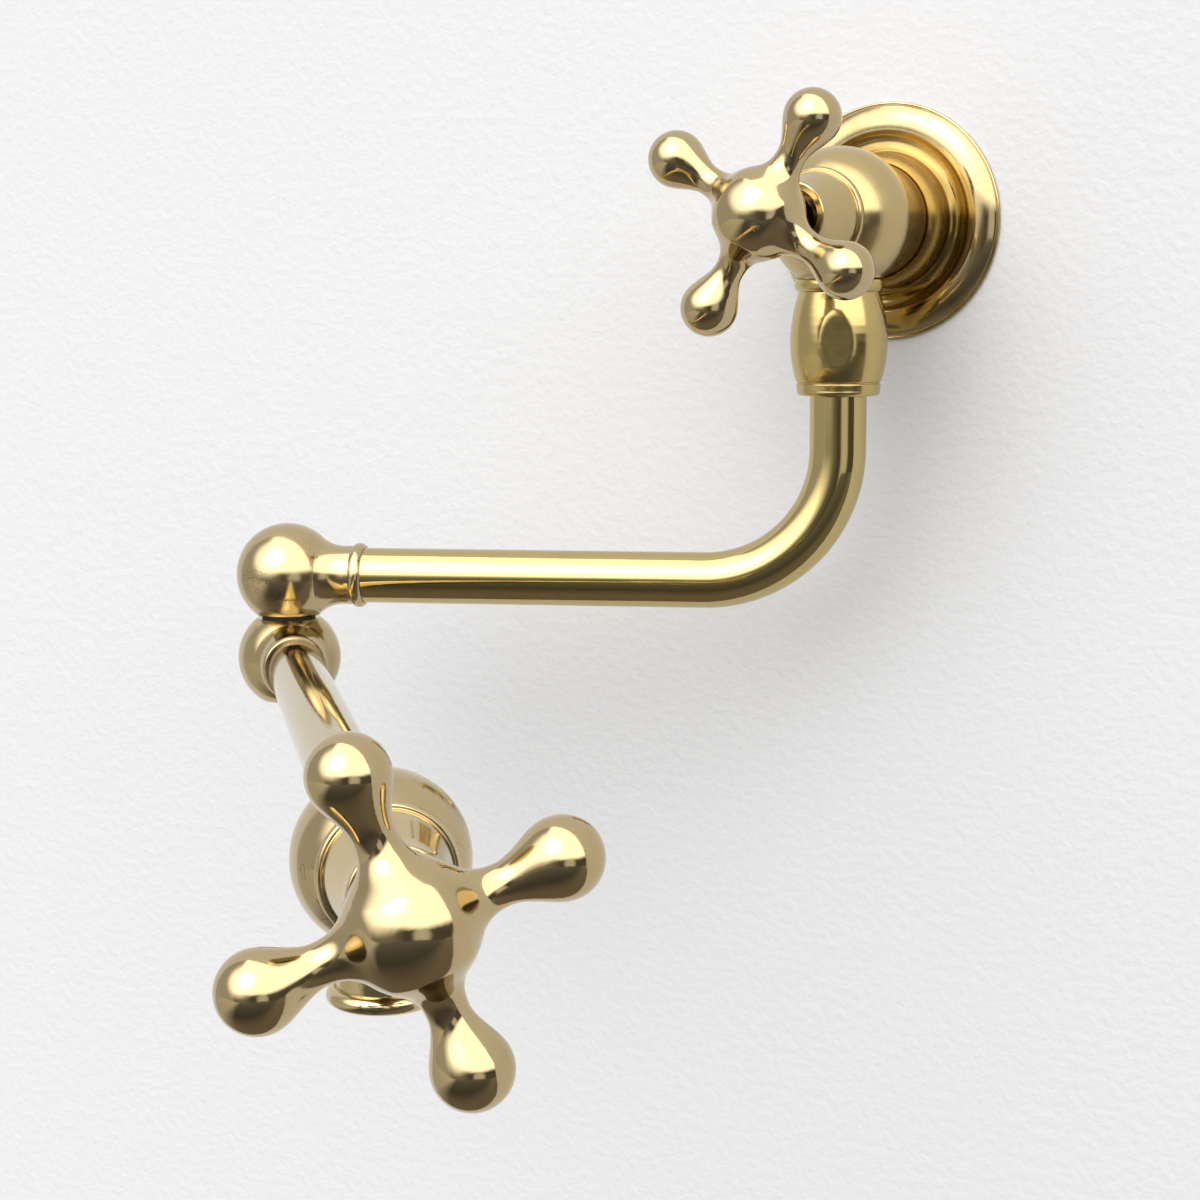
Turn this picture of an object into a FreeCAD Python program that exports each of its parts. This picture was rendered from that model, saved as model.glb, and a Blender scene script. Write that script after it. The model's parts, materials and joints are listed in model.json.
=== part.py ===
"""Wall-mounted double-jointed pot filler, in millimetres.

The origin is on the wall's face, on the axis of the wall valve. X runs along the wall to the right,
Y into the wall and Z up. The arms and the two cross handles stand as they were photographed.
"""
import FreeCAD
import Part
import Sketcher
import math
import os

V = FreeCAD.Vector
Placement = FreeCAD.Placement
Rotation = FreeCAD.Rotation

doc = FreeCAD.newDocument("pot_filler")

# Driving sizes, in millimetres and degrees
SIZES = [
    # Clearances
    ("fit_gap", 0.03),
    ("running_gap", 0.05),
    ("face_gap", 0.05),
    # Where the axes lie
    ("wall_to_axis", 36.0),
    ("inner_reach", 160.4),
    ("inner_drop", 102.0),
    ("inner_angle", 20.6),
    ("outer_reach", 256.2),
    ("outer_angle", 40.0),
    ("wall_handle_angle", 58.8),
    ("end_handle_angle", 21.4),
    # Drawn tube of both arms, and the sockets that take it
    ("tube_outer", 16.0),
    ("tube_wall", 1.5),
    ("bend_radius", 37.5),
    ("socket_wall", 0.6),
    ("socket_depth", 5.3),
    ("bead_height", 0.8),
    ("bead_width", 3.4),
    # Wall flange and inlet
    ("flange_radius", 34.2),
    ("flange_rim", 1.0),
    ("flange_crest", 3.6),
    ("flange_dish", 7.0),
    ("flange_foot", 4.0),
    ("flange_recess", 1.2),
    ("collar_wall", 3.0),
    ("collar_front", 11.8),
    ("thread_radius", 10.48),
    ("inlet_length", 18.0),
    ("inlet_bore", 7.5),
    ("inlet_grip", 8.8),
    # Ball-shaped valve bodies
    ("wall_ball_radius", 20.0),
    ("end_ball_radius", 17.5),
    ("neck_radius", 16.4),
    ("neck_back", 3.2),
    ("outlet_rise", 0.7),
    # Quarter-turn ceramic head, measured from the face that the bonnet sits on
    ("head_depth", 16.0),
    ("disc_radius", 6.8),
    ("disc_thickness", 2.6),
    ("seat_thickness", 2.0),
    ("port_radius", 2.0),
    ("housing_wall", 2.1),
    ("gasket_thickness", 1.0),
    ("gasket_width", 1.4),
    ("hex_height", 4.0),
    ("head_neck_wall", 2.0),
    ("head_neck_height", 6.6),
    ("spindle_radius", 3.55),
    ("stem_ring_section", 0.46),
    ("shoulder_depth", 2.5),
    ("stem_flange", 1.5),
    ("drive_width", 2.6),
    ("drive_depth", 1.3),
    # Bonnet over the head
    ("seat_land", 2.3),
    ("bonnet_bead_width", 2.4),
    ("bonnet_length", 17.6),
    ("bonnet_front_lip", 2.4),
    ("bonnet_web", 3.5),
    ("hole_gap", 1.5),
    # Cross handle
    ("handle_plane", 37.9),
    ("handle_reach", 28.3),
    ("tip_radius", 7.6),
    ("waist_radius", 3.9),
    ("waist_at", 17.0),
    ("hub_radius", 10.6),
    ("hub_forward", 2.0),
    ("boss_wall", 1.76),
    ("boss_flare", 3.4),
    ("boss_flare_at", 15.5),
    ("grub_at", 18.0),
    ("grub_radius", 2.0),
    # Swivel nut below the wall valve
    ("swivel_spigot", 6.95),
    ("swivel_wall", 2.6),
    ("swivel_thread_length", 12.7),
    ("spigot_length", 9.6),
    ("tail_flange", 3.8),
    ("swivel_washer_thickness", 1.1),
    ("swivel_ring_section", 0.48),
    ("nut_wall", 1.7),
    ("nut_ring", 1.2),
    ("nut_collar", 3.65),
    ("nut_belly", 2.35),
    ("nut_foot", 0.35),
    ("nut_length", 32.6),
    ("nut_flat_depth", 0.85),
    ("nut_flat_height", 17.6),
    # Ball elbows between the arms
    ("elbow_radius", 15.0),
    ("joint_radius", 9.3),
    ("elbow_washer_thickness", 0.96),
    ("pivot_radius", 4.95),
    ("pivot_bore", 3.2),
    ("pivot_grip", 7.0),
    ("pivot_ring_section", 0.46),
    ("chamber_height", 9.0),
    ("thrust_thickness", 0.6),
    ("pivot_nut_height", 2.4),
    ("cap_thickness", 1.3),
    # Outlet below the end valve
    ("nozzle_bore", 6.8),
    ("outlet_wall", 2.2),
    ("outlet_lip", 2.0),
    ("outlet_drop", 10.7),
    ("outlet_lip_height", 3.4),
    ("nozzle_grip", 6.5),
    ("flow_plug_height", 4.5),
]

sheet = doc.addObject("Spreadsheet::Sheet", "Sizes")
for row, (alias, value) in enumerate(SIZES, start=1):
    sheet.set(f"A{row}", alias)
    sheet.set(f"B{row}", str(value))
    sheet.setAlias(f"B{row}", alias)
doc.recompute()


def size(alias):
    return float(sheet.get(alias))


def cell(alias):
    return f"Sizes.{alias}"


nodes = []


def keep(obj, label, placement):
    obj.Label = label
    obj.Placement = placement
    nodes.append(obj)
    return obj


# Ways of making a piece

def origin_plane(body, role):
    return next(feature for feature in body.Origin.OriginFeatures if feature.Role == role)


def lathe(name, profile):
    """A turned body about its own Z axis.

    Each step of the profile is (radius, height) for a straight line to that point, or
    (radius, height, middle radius, middle height) for an arc to it through a middle point.
    """
    body = doc.addObject("PartDesign::Body", name)
    sketch = body.newObject("Sketcher::SketchObject", name + "_profile")
    sketch.AttachmentSupport = (origin_plane(body, "XZ_Plane"), [""])
    sketch.MapMode = "FlatFace"

    def anchor(radius, height):
        point = sketch.addGeometry(Part.Point(V(1, 1, 0)), True)
        for kind, value in (("DistanceX", radius), ("DistanceY", height)):
            index = sketch.addConstraint(Sketcher.Constraint(kind, -1, 1, point, 1, 1.0))
            sketch.setExpression(f"Constraints[{index}]", str(value))
        return point

    corners = []
    for step in profile:
        middle = anchor(*step[2:]) if len(step) == 4 else None
        corners.append((anchor(*step[:2]), middle))
    doc.recompute()

    def at(point):
        geometry = sketch.Geometry[point]
        return V(geometry.X, geometry.Y, 0)

    for index, (end, middle) in enumerate(corners):
        start = corners[index - 1][0]
        if middle is None:
            edge = sketch.addGeometry(Part.LineSegment(at(start), at(end)), False)
            first, last = 1, 2
        else:
            edge = sketch.addGeometry(Part.Arc(at(start), at(middle), at(end)), False)
            forward = (sketch.getPoint(edge, 1) - at(start)).Length < 1e-6
            first, last = (1, 2) if forward else (2, 1)
            sketch.addConstraint(Sketcher.Constraint("PointOnObject", middle, 1, edge))
        sketch.addConstraint(Sketcher.Constraint("Coincident", edge, first, start, 1))
        sketch.addConstraint(Sketcher.Constraint("Coincident", edge, last, end, 1))
    doc.recompute()
    turning = body.newObject("PartDesign::Revolution", name + "_turning")
    turning.Profile = sketch
    turning.ReferenceAxis = (sketch, ["V_Axis"])
    turning.Angle = 360
    return body


def ring(name, inner, outer, low, high):
    return lathe(name, [(inner, low), (outer, low), (outer, high), (inner, high)])


def o_ring(name, inner, section, height):
    middle = f"({inner}) + ({section})"
    return lathe(name, [
        (inner, height, middle, f"({height}) + ({section})"),
        (f"({inner}) + 2 * ({section})", height, middle, f"({height}) - ({section})"),
    ])


TURNS = {
    "up": Rotation(),
    "down": Rotation(V(1, 0, 0), 180),
    "right": Rotation(V(0, 1, 0), 90),
    "left": Rotation(V(0, 1, 0), -90),
    "back": Rotation(V(1, 0, 0), -90),
    "front": Rotation(V(1, 0, 0), 90),
}


def cylinder(name, radius, start, end, towards="up", offset=(0, 0, 0)):
    """A round bar from start to end, measured along its direction from offset."""
    bar = doc.addObject("Part::Cylinder", name)
    bar.setExpression("Radius", str(radius))
    bar.setExpression("Height", f"({end}) - ({start})")
    turn = TURNS[towards]
    bar.Placement = Placement(V(), turn)
    along = turn.multVec(V(0, 0, 1))
    for axis, part, shift in zip("xyz", along, offset):
        bar.setExpression(f"Placement.Base.{axis}", f"({shift}) + ({round(part)}) * ({start})")
    return bar


def box(name, sizes, corner):
    block = doc.addObject("Part::Box", name)
    for side, value in zip(("Length", "Width", "Height"), sizes):
        block.setExpression(side, str(value))
    for axis, value in zip("xyz", corner):
        block.setExpression(f"Placement.Base.{axis}", str(value))
    return block


def sphere(name, radius, centre=(0, 0, 0)):
    ball = doc.addObject("Part::Sphere", name)
    ball.setExpression("Radius", str(radius))
    for axis, value in zip("xyz", centre):
        ball.setExpression(f"Placement.Base.{axis}", str(value))
    return ball


def hexagon(name, circumradius, low, high):
    prism = doc.addObject("Part::Prism", name)
    prism.Polygon = 6
    prism.setExpression("Circumradius", str(circumradius))
    prism.setExpression("Height", f"({high}) - ({low})")
    prism.setExpression("Placement.Base.z", str(low))
    return prism


def turned(body, towards):
    body.Placement = Placement(V(), TURNS[towards])
    return body


def fuse(name, parts):
    joined = doc.addObject("Part::MultiFuse", name)
    joined.Shapes = parts
    return joined


def cut(name, base, tools):
    tool = tools[0] if len(tools) == 1 else fuse(name + "_tools", tools)
    result = doc.addObject("Part::Cut", name)
    result.Base = base
    result.Tool = tool
    return result


# Sizes that follow from the driving ones

FIT = cell("fit_gap")
RUN = cell("running_gap")
FACE = cell("face_gap")
CLEAR = 60

TUBE = f"({cell('tube_outer')} / 2)"
TUBE_BORE = f"({TUBE} - {cell('tube_wall')})"
SOCKET = f"({TUBE} + {FIT})"
SOCKET_OUT = f"({TUBE} + {cell('socket_wall')})"
WATERWAY = f"({TUBE_BORE} - 0.2)"

STEM = cell("spindle_radius")
STEM_BORE = f"({STEM} + {RUN})"
SQUARE = f"({STEM} * 1.408)"
HEAD_NECK = f"({STEM_BORE} + {cell('head_neck_wall')})"
CAVITY = f"({cell('disc_radius')} + 0.1)"
HEAD_BORE = f"({CAVITY} + {cell('housing_wall')})"
HEX = f"({HEAD_BORE} + {cell('gasket_width')})"
BONNET_CAVITY = f"({HEX} + 0.4)"
SEAT = f"({BONNET_CAVITY} + {cell('seat_land')} + 0.4)"
BONNET_BEAD = f"({SEAT} + 0.2)"
BOSS = f"({SQUARE} * 0.70711 + {cell('boss_wall')})"
HOLE = f"({BOSS} + {cell('hole_gap')})"
BONNET_FRONT = f"({HOLE} + {cell('bonnet_front_lip')})"

NECK = cell("neck_radius")
COLLAR = f"({NECK} + {cell('collar_wall')})"
BALL = cell("wall_ball_radius")
END_BALL = cell("end_ball_radius")
AXIS = cell("wall_to_axis")

SPIGOT = cell("swivel_spigot")
SWIVEL_BORE = f"({SPIGOT} + {RUN})"
SWIVEL_THREAD = f"({SWIVEL_BORE} + {cell('swivel_wall')})"
NUT_BORE = f"({SWIVEL_THREAD} + {FIT})"
NUT_WAIST = f"({NUT_BORE} + {cell('nut_wall')})"
NUT_TOP_RADIUS = f"({NUT_WAIST} + {cell('nut_ring')})"
NUT_BELLY = f"({NUT_WAIST} + {cell('nut_belly')})"
NUT_FOOT = f"({NUT_WAIST} + {cell('nut_foot')})"
OUTLET_FACE = f"(sqrt({BALL}^2 - {NUT_TOP_RADIUS}^2) + {cell('outlet_rise')})"

ELBOW = cell("elbow_radius")
JOINT_FLAT = f"(sqrt({ELBOW}^2 - {cell('joint_radius')}^2))"
HALF_JOINT = f"({cell('elbow_washer_thickness')} / 2 + {FACE} / 2)"
HALF = f"({JOINT_FLAT} + {HALF_JOINT})"
ELBOW_STOP = f"({ELBOW} + 3)"
PIVOT = cell("pivot_radius")
RECESS = f"({PIVOT} + 2.05)"
BASE_FLAT = f"(sqrt({ELBOW}^2 - ({RECESS} + 1.4)^2))"

NOZZLE_BORE = cell("nozzle_bore")
NOZZLE = f"({NOZZLE_BORE} + {cell('outlet_wall')})"
NOZZLE_THREAD = f"({NOZZLE_BORE} + 0.8)"
NOZZLE_WAY = f"({NOZZLE_BORE} - 0.8)"
NOZZLE_FACE = f"({END_BALL} + 1.2)"
NOZZLE_END = f"({END_BALL} + {cell('outlet_drop')})"
NOZZLE_GRIP = cell("nozzle_grip")


def seat_height(ball):
    return f"(sqrt({ball}^2 - {SEAT}^2))"


# Frames of the assembly, whose places are worked out in cells of their own

derived = doc.addObject("Spreadsheet::Sheet", "Places")
for row, (alias, formula) in enumerate((
    ("elbow_pitch", f"2 * {HALF}"),
    ("wall_seat", seat_height(BALL)),
    ("end_seat", seat_height(END_BALL)),
), start=1):
    derived.set(f"A{row}", "=" + formula)
    derived.setAlias(f"A{row}", alias)
doc.recompute()

FACING = Rotation(V(1, 0, 0), 90)
WALL = Placement(V(0, 0, 0), FACING)
INNER_TURN = Rotation(V(0, 0, 1), size("inner_angle"))
OUTER_TURN = Rotation(V(0, 0, 1), size("outer_angle"))
inner_way = INNER_TURN.multVec(V(-1, 0, 0))
outer_way = OUTER_TURN.multVec(V(0, -1, 0))

wall_ball = V(0, -size("wall_to_axis"), 0)
upper_ball = wall_ball + inner_way * size("inner_reach") - V(0, 0, size("inner_drop"))
lower_ball = upper_ball - V(0, 0, float(derived.get("elbow_pitch")))
end_ball = lower_ball + outer_way * size("outer_reach")

swivel_frame = Placement(wall_ball, INNER_TURN)
joint_frame = Placement((upper_ball + lower_ball) * 0.5, Rotation())
upper_frame = Placement(upper_ball, INNER_TURN)
lower_frame = Placement(lower_ball, OUTER_TURN.multiply(Rotation(V(0, 0, 1), -90)))
nozzle_frame = Placement(end_ball, OUTER_TURN)
wall_ball_frame = Placement(wall_ball, FACING)
end_ball_frame = Placement(end_ball, OUTER_TURN.multiply(FACING))
wall_head_frame = wall_ball_frame.multiply(Placement(V(0, 0, float(derived.get("wall_seat"))), Rotation()))
end_head_frame = end_ball_frame.multiply(Placement(V(0, 0, float(derived.get("end_seat"))), Rotation()))

# Wall flange, its seal, its lock collar and the inlet, all on the wall

RIM = cell("flange_radius")
CREST = f"({COLLAR} + {cell('flange_dish')})"
CREST_HIGH = cell("flange_crest")
LAND = f"({CREST_HIGH} - 0.3)"
FLANGE_HOLE = f"({NECK} + 0.8)"
FOOT = f"({RIM} - {cell('flange_foot')})"
COLLAR_BORE = f"({NECK} + {FIT})"
COLLAR_SIDE = f"({LAND} + 2.6)"
NECK_BACK = cell("neck_back")
THREAD = cell("thread_radius")
GRIP_THREAD = f"({THREAD} - 0.5)"
GRIP_END = f"({NECK_BACK} + {cell('inlet_grip')})"

flange = lathe("flange", [
    (FLANGE_HOLE, cell("flange_recess")),
    (FOOT, cell("flange_recess")),
    (FOOT, 0),
    (RIM, 0),
    (RIM, cell("flange_rim")),
    (CREST, CREST_HIGH, f"0.55 * {RIM} + 0.45 * {CREST}", f"0.2 * {cell('flange_rim')} + 0.8 * {CREST_HIGH}"),
    (f"{COLLAR} + 0.8", LAND, f"0.5 * ({CREST} + {COLLAR} + 0.8)", f"{CREST_HIGH} - 1.2"),
    (FLANGE_HOLE, LAND),
])
keep(flange, "escutcheon", WALL)

seal = ring("flange_seal", f"{FLANGE_HOLE} + 3", f"{FOOT} - 0.2", 0, f"{cell('flange_recess')} - {FACE}")
keep(seal, "escutcheon_seal", WALL)

collar = lathe("collar", [
    (COLLAR_BORE, LAND),
    (COLLAR, LAND),
    (COLLAR, COLLAR_SIDE),
    (f"{COLLAR_BORE} + 0.5", cell("collar_front"), f"0.2 * {COLLAR_BORE} + 0.8 * {COLLAR}",
     f"0.35 * {COLLAR_SIDE} + 0.65 * {cell('collar_front')}"),
    (COLLAR_BORE, cell("collar_front")),
])
keep(collar, "flange_collar", WALL)

nipple = lathe("nipple", [
    (cell("inlet_bore"), f"-{cell('inlet_length')}"),
    (f"{THREAD} - 1.2", f"-{cell('inlet_length')}"),
    (THREAD, f"1.2 - {cell('inlet_length')}"),
    (THREAD, NECK_BACK),
    (GRIP_THREAD, NECK_BACK),
    (GRIP_THREAD, GRIP_END),
    (cell("inlet_bore"), GRIP_END),
])
keep(nipple, "inlet_nipple", WALL)

# Wall valve body: a ball with a neck to the wall, a face for the bonnet and a threaded outlet below

THREAD_END = f"({OUTLET_FACE} + {cell('swivel_thread_length')})"
wall_cast = cut("wall_cast", fuse("wall_shell", [
    sphere("wall_sphere", BALL),
    cylinder("wall_outlet", f"{NUT_TOP_RADIUS} - 0.1", 0, OUTLET_FACE, "front"),
]), [cylinder("wall_outlet_facing", CLEAR, OUTLET_FACE, CLEAR, "front")])
wall_body = cut("wall_body", fuse("wall_solid", [
    wall_cast,
    cylinder("wall_neck", NECK, f"{NECK_BACK} - {AXIS}", 0),
    cylinder("wall_outlet_thread", SWIVEL_THREAD, 0, THREAD_END, "front"),
]), [
    cylinder("wall_facing", CLEAR, seat_height(BALL), CLEAR),
    cylinder("wall_head_bore", HEAD_BORE, f"{seat_height(BALL)} - {cell('head_depth')} - 1", CLEAR),
    cylinder("wall_supply", cell("inlet_bore"), -CLEAR, 0),
    cylinder("wall_grip", f"{GRIP_THREAD} + {FIT}", -CLEAR, f"{GRIP_END} + {FACE} - {AXIS}"),
    cylinder("wall_outlet_bore", SWIVEL_BORE, 0, CLEAR, "front"),
])
keep(wall_body, "wall_valve_body", wall_ball_frame)


# One valve head with its bonnet and cross handle, the same on both valves

def turned_arm(name, towards):
    """Two opposite arms of the cross with their tip balls, flared at the hub."""
    waist = cell("waist_radius")
    at = cell("waist_at")
    reach = cell("handle_reach")
    tip = cell("tip_radius")
    flare = f"({at} - {waist})"
    hub_edge = f"({at} - {flare} * 0.70711)"
    hub_middle_r = f"({at} - {flare} * 0.92388)"
    hub_middle_s = f"({at} - {flare} * 0.38268)"
    neck = f"((({reach} - {at})^2 + {waist}^2 - {tip}^2) / (2 * ({tip} - {waist})))"
    lean = f"atan(({reach} - {at}) / ({waist} + {neck}))"
    ball_r = f"({waist} + {neck} - {neck} * cos({lean}))"
    ball_s = f"({at} + {neck} * sin({lean}))"
    neck_middle_r = f"({waist} + {neck} - {neck} * cos({lean} / 2))"
    neck_middle_s = f"({at} + {neck} * sin({lean} / 2))"
    pole = f"({tip} / 25)"
    end = f"({reach} + sqrt({tip}^2 - {pole}^2))"
    bar = lathe(name, [
        (0, f"-{end}"),
        (pole, f"-{end}"),
        (ball_r, f"-{ball_s}", tip, f"-{reach}"),
        (waist, f"-{at}", neck_middle_r, f"-{neck_middle_s}"),
        (hub_edge, f"-{hub_edge}", hub_middle_r, f"-{hub_middle_s}"),
        (hub_edge, hub_edge),
        (waist, at, hub_middle_r, hub_middle_s),
        (ball_r, ball_s, neck_middle_r, neck_middle_s),
        (pole, end, tip, reach),
        (0, end),
    ])
    bar.Placement = Placement(V(), TURNS[towards])
    bar.setExpression("Placement.Base.z", cell("handle_plane"))
    return bar


def valve_head(prefix, frame, handle_turn):
    bead_top = cell("bonnet_bead_width")
    front = cell("bonnet_length")
    hex_low = cell("gasket_thickness")
    hex_high = f"({hex_low} + {cell('hex_height')})"
    neck_top = f"({hex_high} + {cell('head_neck_height')})"
    web_high = f"({neck_top} + 0.4)"
    web_low = f"({web_high} - {cell('bonnet_web')})"
    cone = f"({SEAT} - 1)"
    bonnet = lathe(prefix + "_bonnet_turned", [
        (BONNET_CAVITY, 0),
        (f"{BONNET_BEAD} - 0.6", 0),
        (f"{BONNET_BEAD} - 0.6", bead_top, BONNET_BEAD, f"{bead_top} / 2"),
        (cone, bead_top),
        (cone, f"{bead_top} + 0.6"),
        (BONNET_FRONT, f"{front} - 0.6"),
        (f"{BONNET_FRONT} - 0.6", front, f"{BONNET_FRONT} - 0.14", f"{front} - 0.16"),
        (f"{HOLE} + 0.5", front),
        (HOLE, f"{front} - 0.7"),
        (HOLE, web_high),
        (f"{HEAD_NECK} + {FIT}", web_high),
        (f"{HEAD_NECK} + {FIT}", web_low),
        (BONNET_CAVITY, f"{hex_high} + 0.6"),
    ])
    keep(bonnet, prefix + "_bonnet", frame)

    depth = cell("head_depth")
    disc = cell("disc_radius")
    thick = cell("disc_thickness")
    port = cell("port_radius")
    port_at = f"({disc} - {port} - 0.9)"
    seat_low = f"(0 - {depth} - 0.9)"
    fixed_low = f"({seat_low} + {cell('seat_thickness')})"
    moving_low = f"({fixed_low} + {thick} + 0.02)"
    moving_high = f"({moving_low} + {thick})"
    shoulder = f"(0 - {cell('shoulder_depth')})"
    flange_high = f"({shoulder} - 0.2)"
    flange_low = f"({flange_high} - {cell('stem_flange')})"
    housing_turned = lathe(prefix + "_housing_turned", [
        (CAVITY, f"-{depth}"),
        (f"{HEAD_BORE} - {FIT}", f"-{depth}"),
        (f"{HEAD_BORE} - {FIT}", hex_high),
        (HEAD_NECK, hex_high),
        (HEAD_NECK, neck_top),
        (STEM_BORE, neck_top),
        (STEM_BORE, shoulder),
        (CAVITY, shoulder),
    ])
    housing = cut(prefix + "_housing_cut", fuse(prefix + "_housing_solid", [
        housing_turned,
        cut(prefix + "_housing_hex", hexagon(prefix + "_hex", HEX, hex_low, hex_high), [
            cylinder(prefix + "_hex_bore", STEM_BORE, -CLEAR, CLEAR),
        ]),
    ]), [box(prefix + "_windows", (2 * CLEAR, disc, f"{flange_low} - {moving_high}"),
             (-CLEAR, f"-{disc} / 2", moving_high))])
    keep(housing, prefix + "_head_housing", frame)

    gasket = ring(prefix + "_gasket_turned", f"{HEAD_BORE} + {FIT}", HEX, 0, f"{hex_low} - 0.02")
    keep(gasket, prefix + "_head_gasket", frame)
    seat_seal = ring(prefix + "_seat_turned", f"{port_at} + 0.1", f"{disc} - 0.3", seat_low, fixed_low)
    keep(seat_seal, prefix + "_seat_seal", frame)
    fixed_plate = cylinder(prefix + "_fixed_plate", disc, fixed_low, f"{fixed_low} + {thick}")
    fixed = cut(prefix + "_fixed_cut", fixed_plate, [
        cylinder(prefix + "_fixed_port_a", port, -CLEAR, 0, "up", (port_at, 0, 0)),
        cylinder(prefix + "_fixed_port_b", port, -CLEAR, 0, "up", (f"-{port_at}", 0, 0)),
    ])
    keep(fixed, prefix + "_fixed_disc", frame)

    # Everything from here on turns with the handle
    turning = frame.multiply(Placement(V(), Rotation(V(0, 0, 1), handle_turn)))
    slot = cell("drive_depth")
    width = cell("drive_width")
    moving = cut(prefix + "_moving_cut", cylinder(prefix + "_moving_plate", disc, moving_low, moving_high), [
        cylinder(prefix + "_moving_port_a", port, -CLEAR, 0, "up", (0, port_at, 0)),
        cylinder(prefix + "_moving_port_b", port, -CLEAR, 0, "up", (0, f"-{port_at}", 0)),
        box(prefix + "_drive_slot", (2 * CLEAR, width, 5),
            (-CLEAR, f"-{width} / 2", f"{moving_high} - {slot}")),
    ])
    keep(moving, prefix + "_moving_disc", turning)

    plane = cell("handle_plane")
    boss_low = f"({web_high} + 1.6)"
    square_top = f"({plane} - 5)"
    section = cell("stem_ring_section")
    ring_low = f"({hex_high} - 1.5)"
    ring_high = f"({ring_low} + 2 * {section} + 0.18)"
    groove = f"({STEM} - 2 * {section} + {RUN} - 0.03)"
    stem_foot = f"({STEM} - 0.55)"
    spindle_turned = lathe(prefix + "_spindle_turned", [
        (0, f"{moving_high} + 0.1"),
        (stem_foot, f"{moving_high} + 0.1"),
        (stem_foot, flange_low),
        (f"{disc} - 0.3", flange_low),
        (f"{disc} - 0.3", flange_high),
        (STEM, flange_high),
        (STEM, ring_low),
        (groove, ring_low),
        (groove, ring_high),
        (STEM, ring_high),
        (STEM, f"{boss_low} - 0.6"),
        (0, f"{boss_low} - 0.6"),
    ])
    spindle = fuse(prefix + "_spindle_solid", [
        spindle_turned,
        box(prefix + "_square", (SQUARE, SQUARE, f"{square_top} - {boss_low} + 1.1"),
            (f"-{SQUARE} / 2", f"-{SQUARE} / 2", f"{boss_low} - 1.1")),
        box(prefix + "_tang", (f"1.3 * {disc}", f"{width} - 0.1", f"{slot} + 0.3"),
            (f"-0.65 * {disc}", f"0.05 - {width} / 2", f"{moving_high} - {slot} + 0.1")),
    ])
    keep(spindle, prefix + "_spindle", turning)
    keep(o_ring(prefix + "_stem_ring_turned", f"{groove} + 0.01", section, f"({ring_low} + {ring_high}) / 2"),
         prefix + "_stem_ring", turning)

    flare = cell("boss_flare")
    flare_at = cell("boss_flare_at")
    boss_turned = lathe(prefix + "_boss_turned", [
        (0, boss_low),
        (f"{BOSS} - 0.4", boss_low),
        (BOSS, f"{boss_low} + 0.4"),
        (BOSS, f"{plane} - {flare_at}"),
        (f"{BOSS} + {flare}", f"{plane} - 0.4 * {flare_at}", f"{BOSS} + 0.26 * {flare}",
         f"{plane} - 0.71 * {flare_at}"),
        (f"{BOSS} + {flare}", plane),
        (0, plane),
    ])
    grub = cell("grub_radius")
    grub_at = f"({plane} - {cell('grub_at')})"
    socket = f"({SQUARE} + 0.08)"
    cross = cut(prefix + "_cross", fuse(prefix + "_cross_solid", [
        boss_turned,
        sphere(prefix + "_hub", cell("hub_radius"), (0, 0, f"{plane} + {cell('hub_forward')}")),
        turned_arm(prefix + "_arms_across", "right"),
        turned_arm(prefix + "_arms_along", "back"),
    ]), [
        box(prefix + "_square_socket", (socket, socket, f"{square_top} + 0.2"),
            (f"-{socket} / 2", f"-{socket} / 2", 0)),
        cylinder(prefix + "_grub_hole", f"{grub} + {FIT}", 0, f"{BOSS} + 5", "front", (0, 0, grub_at)),
    ])
    keep(cross, prefix + "_cross_handle", turning)

    key = hexagon(prefix + "_grub_key", f"0.58 * {grub}", 0, 3)
    key.Placement = Placement(V(), TURNS["front"])
    key.setExpression("Placement.Base.z", grub_at)
    key.setExpression("Placement.Base.y", f"-({BOSS} - 1.5)")
    screw = cut(prefix + "_grub_cut", cylinder(
        prefix + "_grub", grub, f"{SQUARE} / 2 + 0.06", f"{BOSS} - 0.2", "front", (0, 0, grub_at)), [key])
    keep(screw, prefix + "_grub_screw", turning)


valve_head("wall", wall_head_frame, size("wall_handle_angle"))

# Swivel nut with its two spanner flats, fixed on the valve's outlet thread

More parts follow.
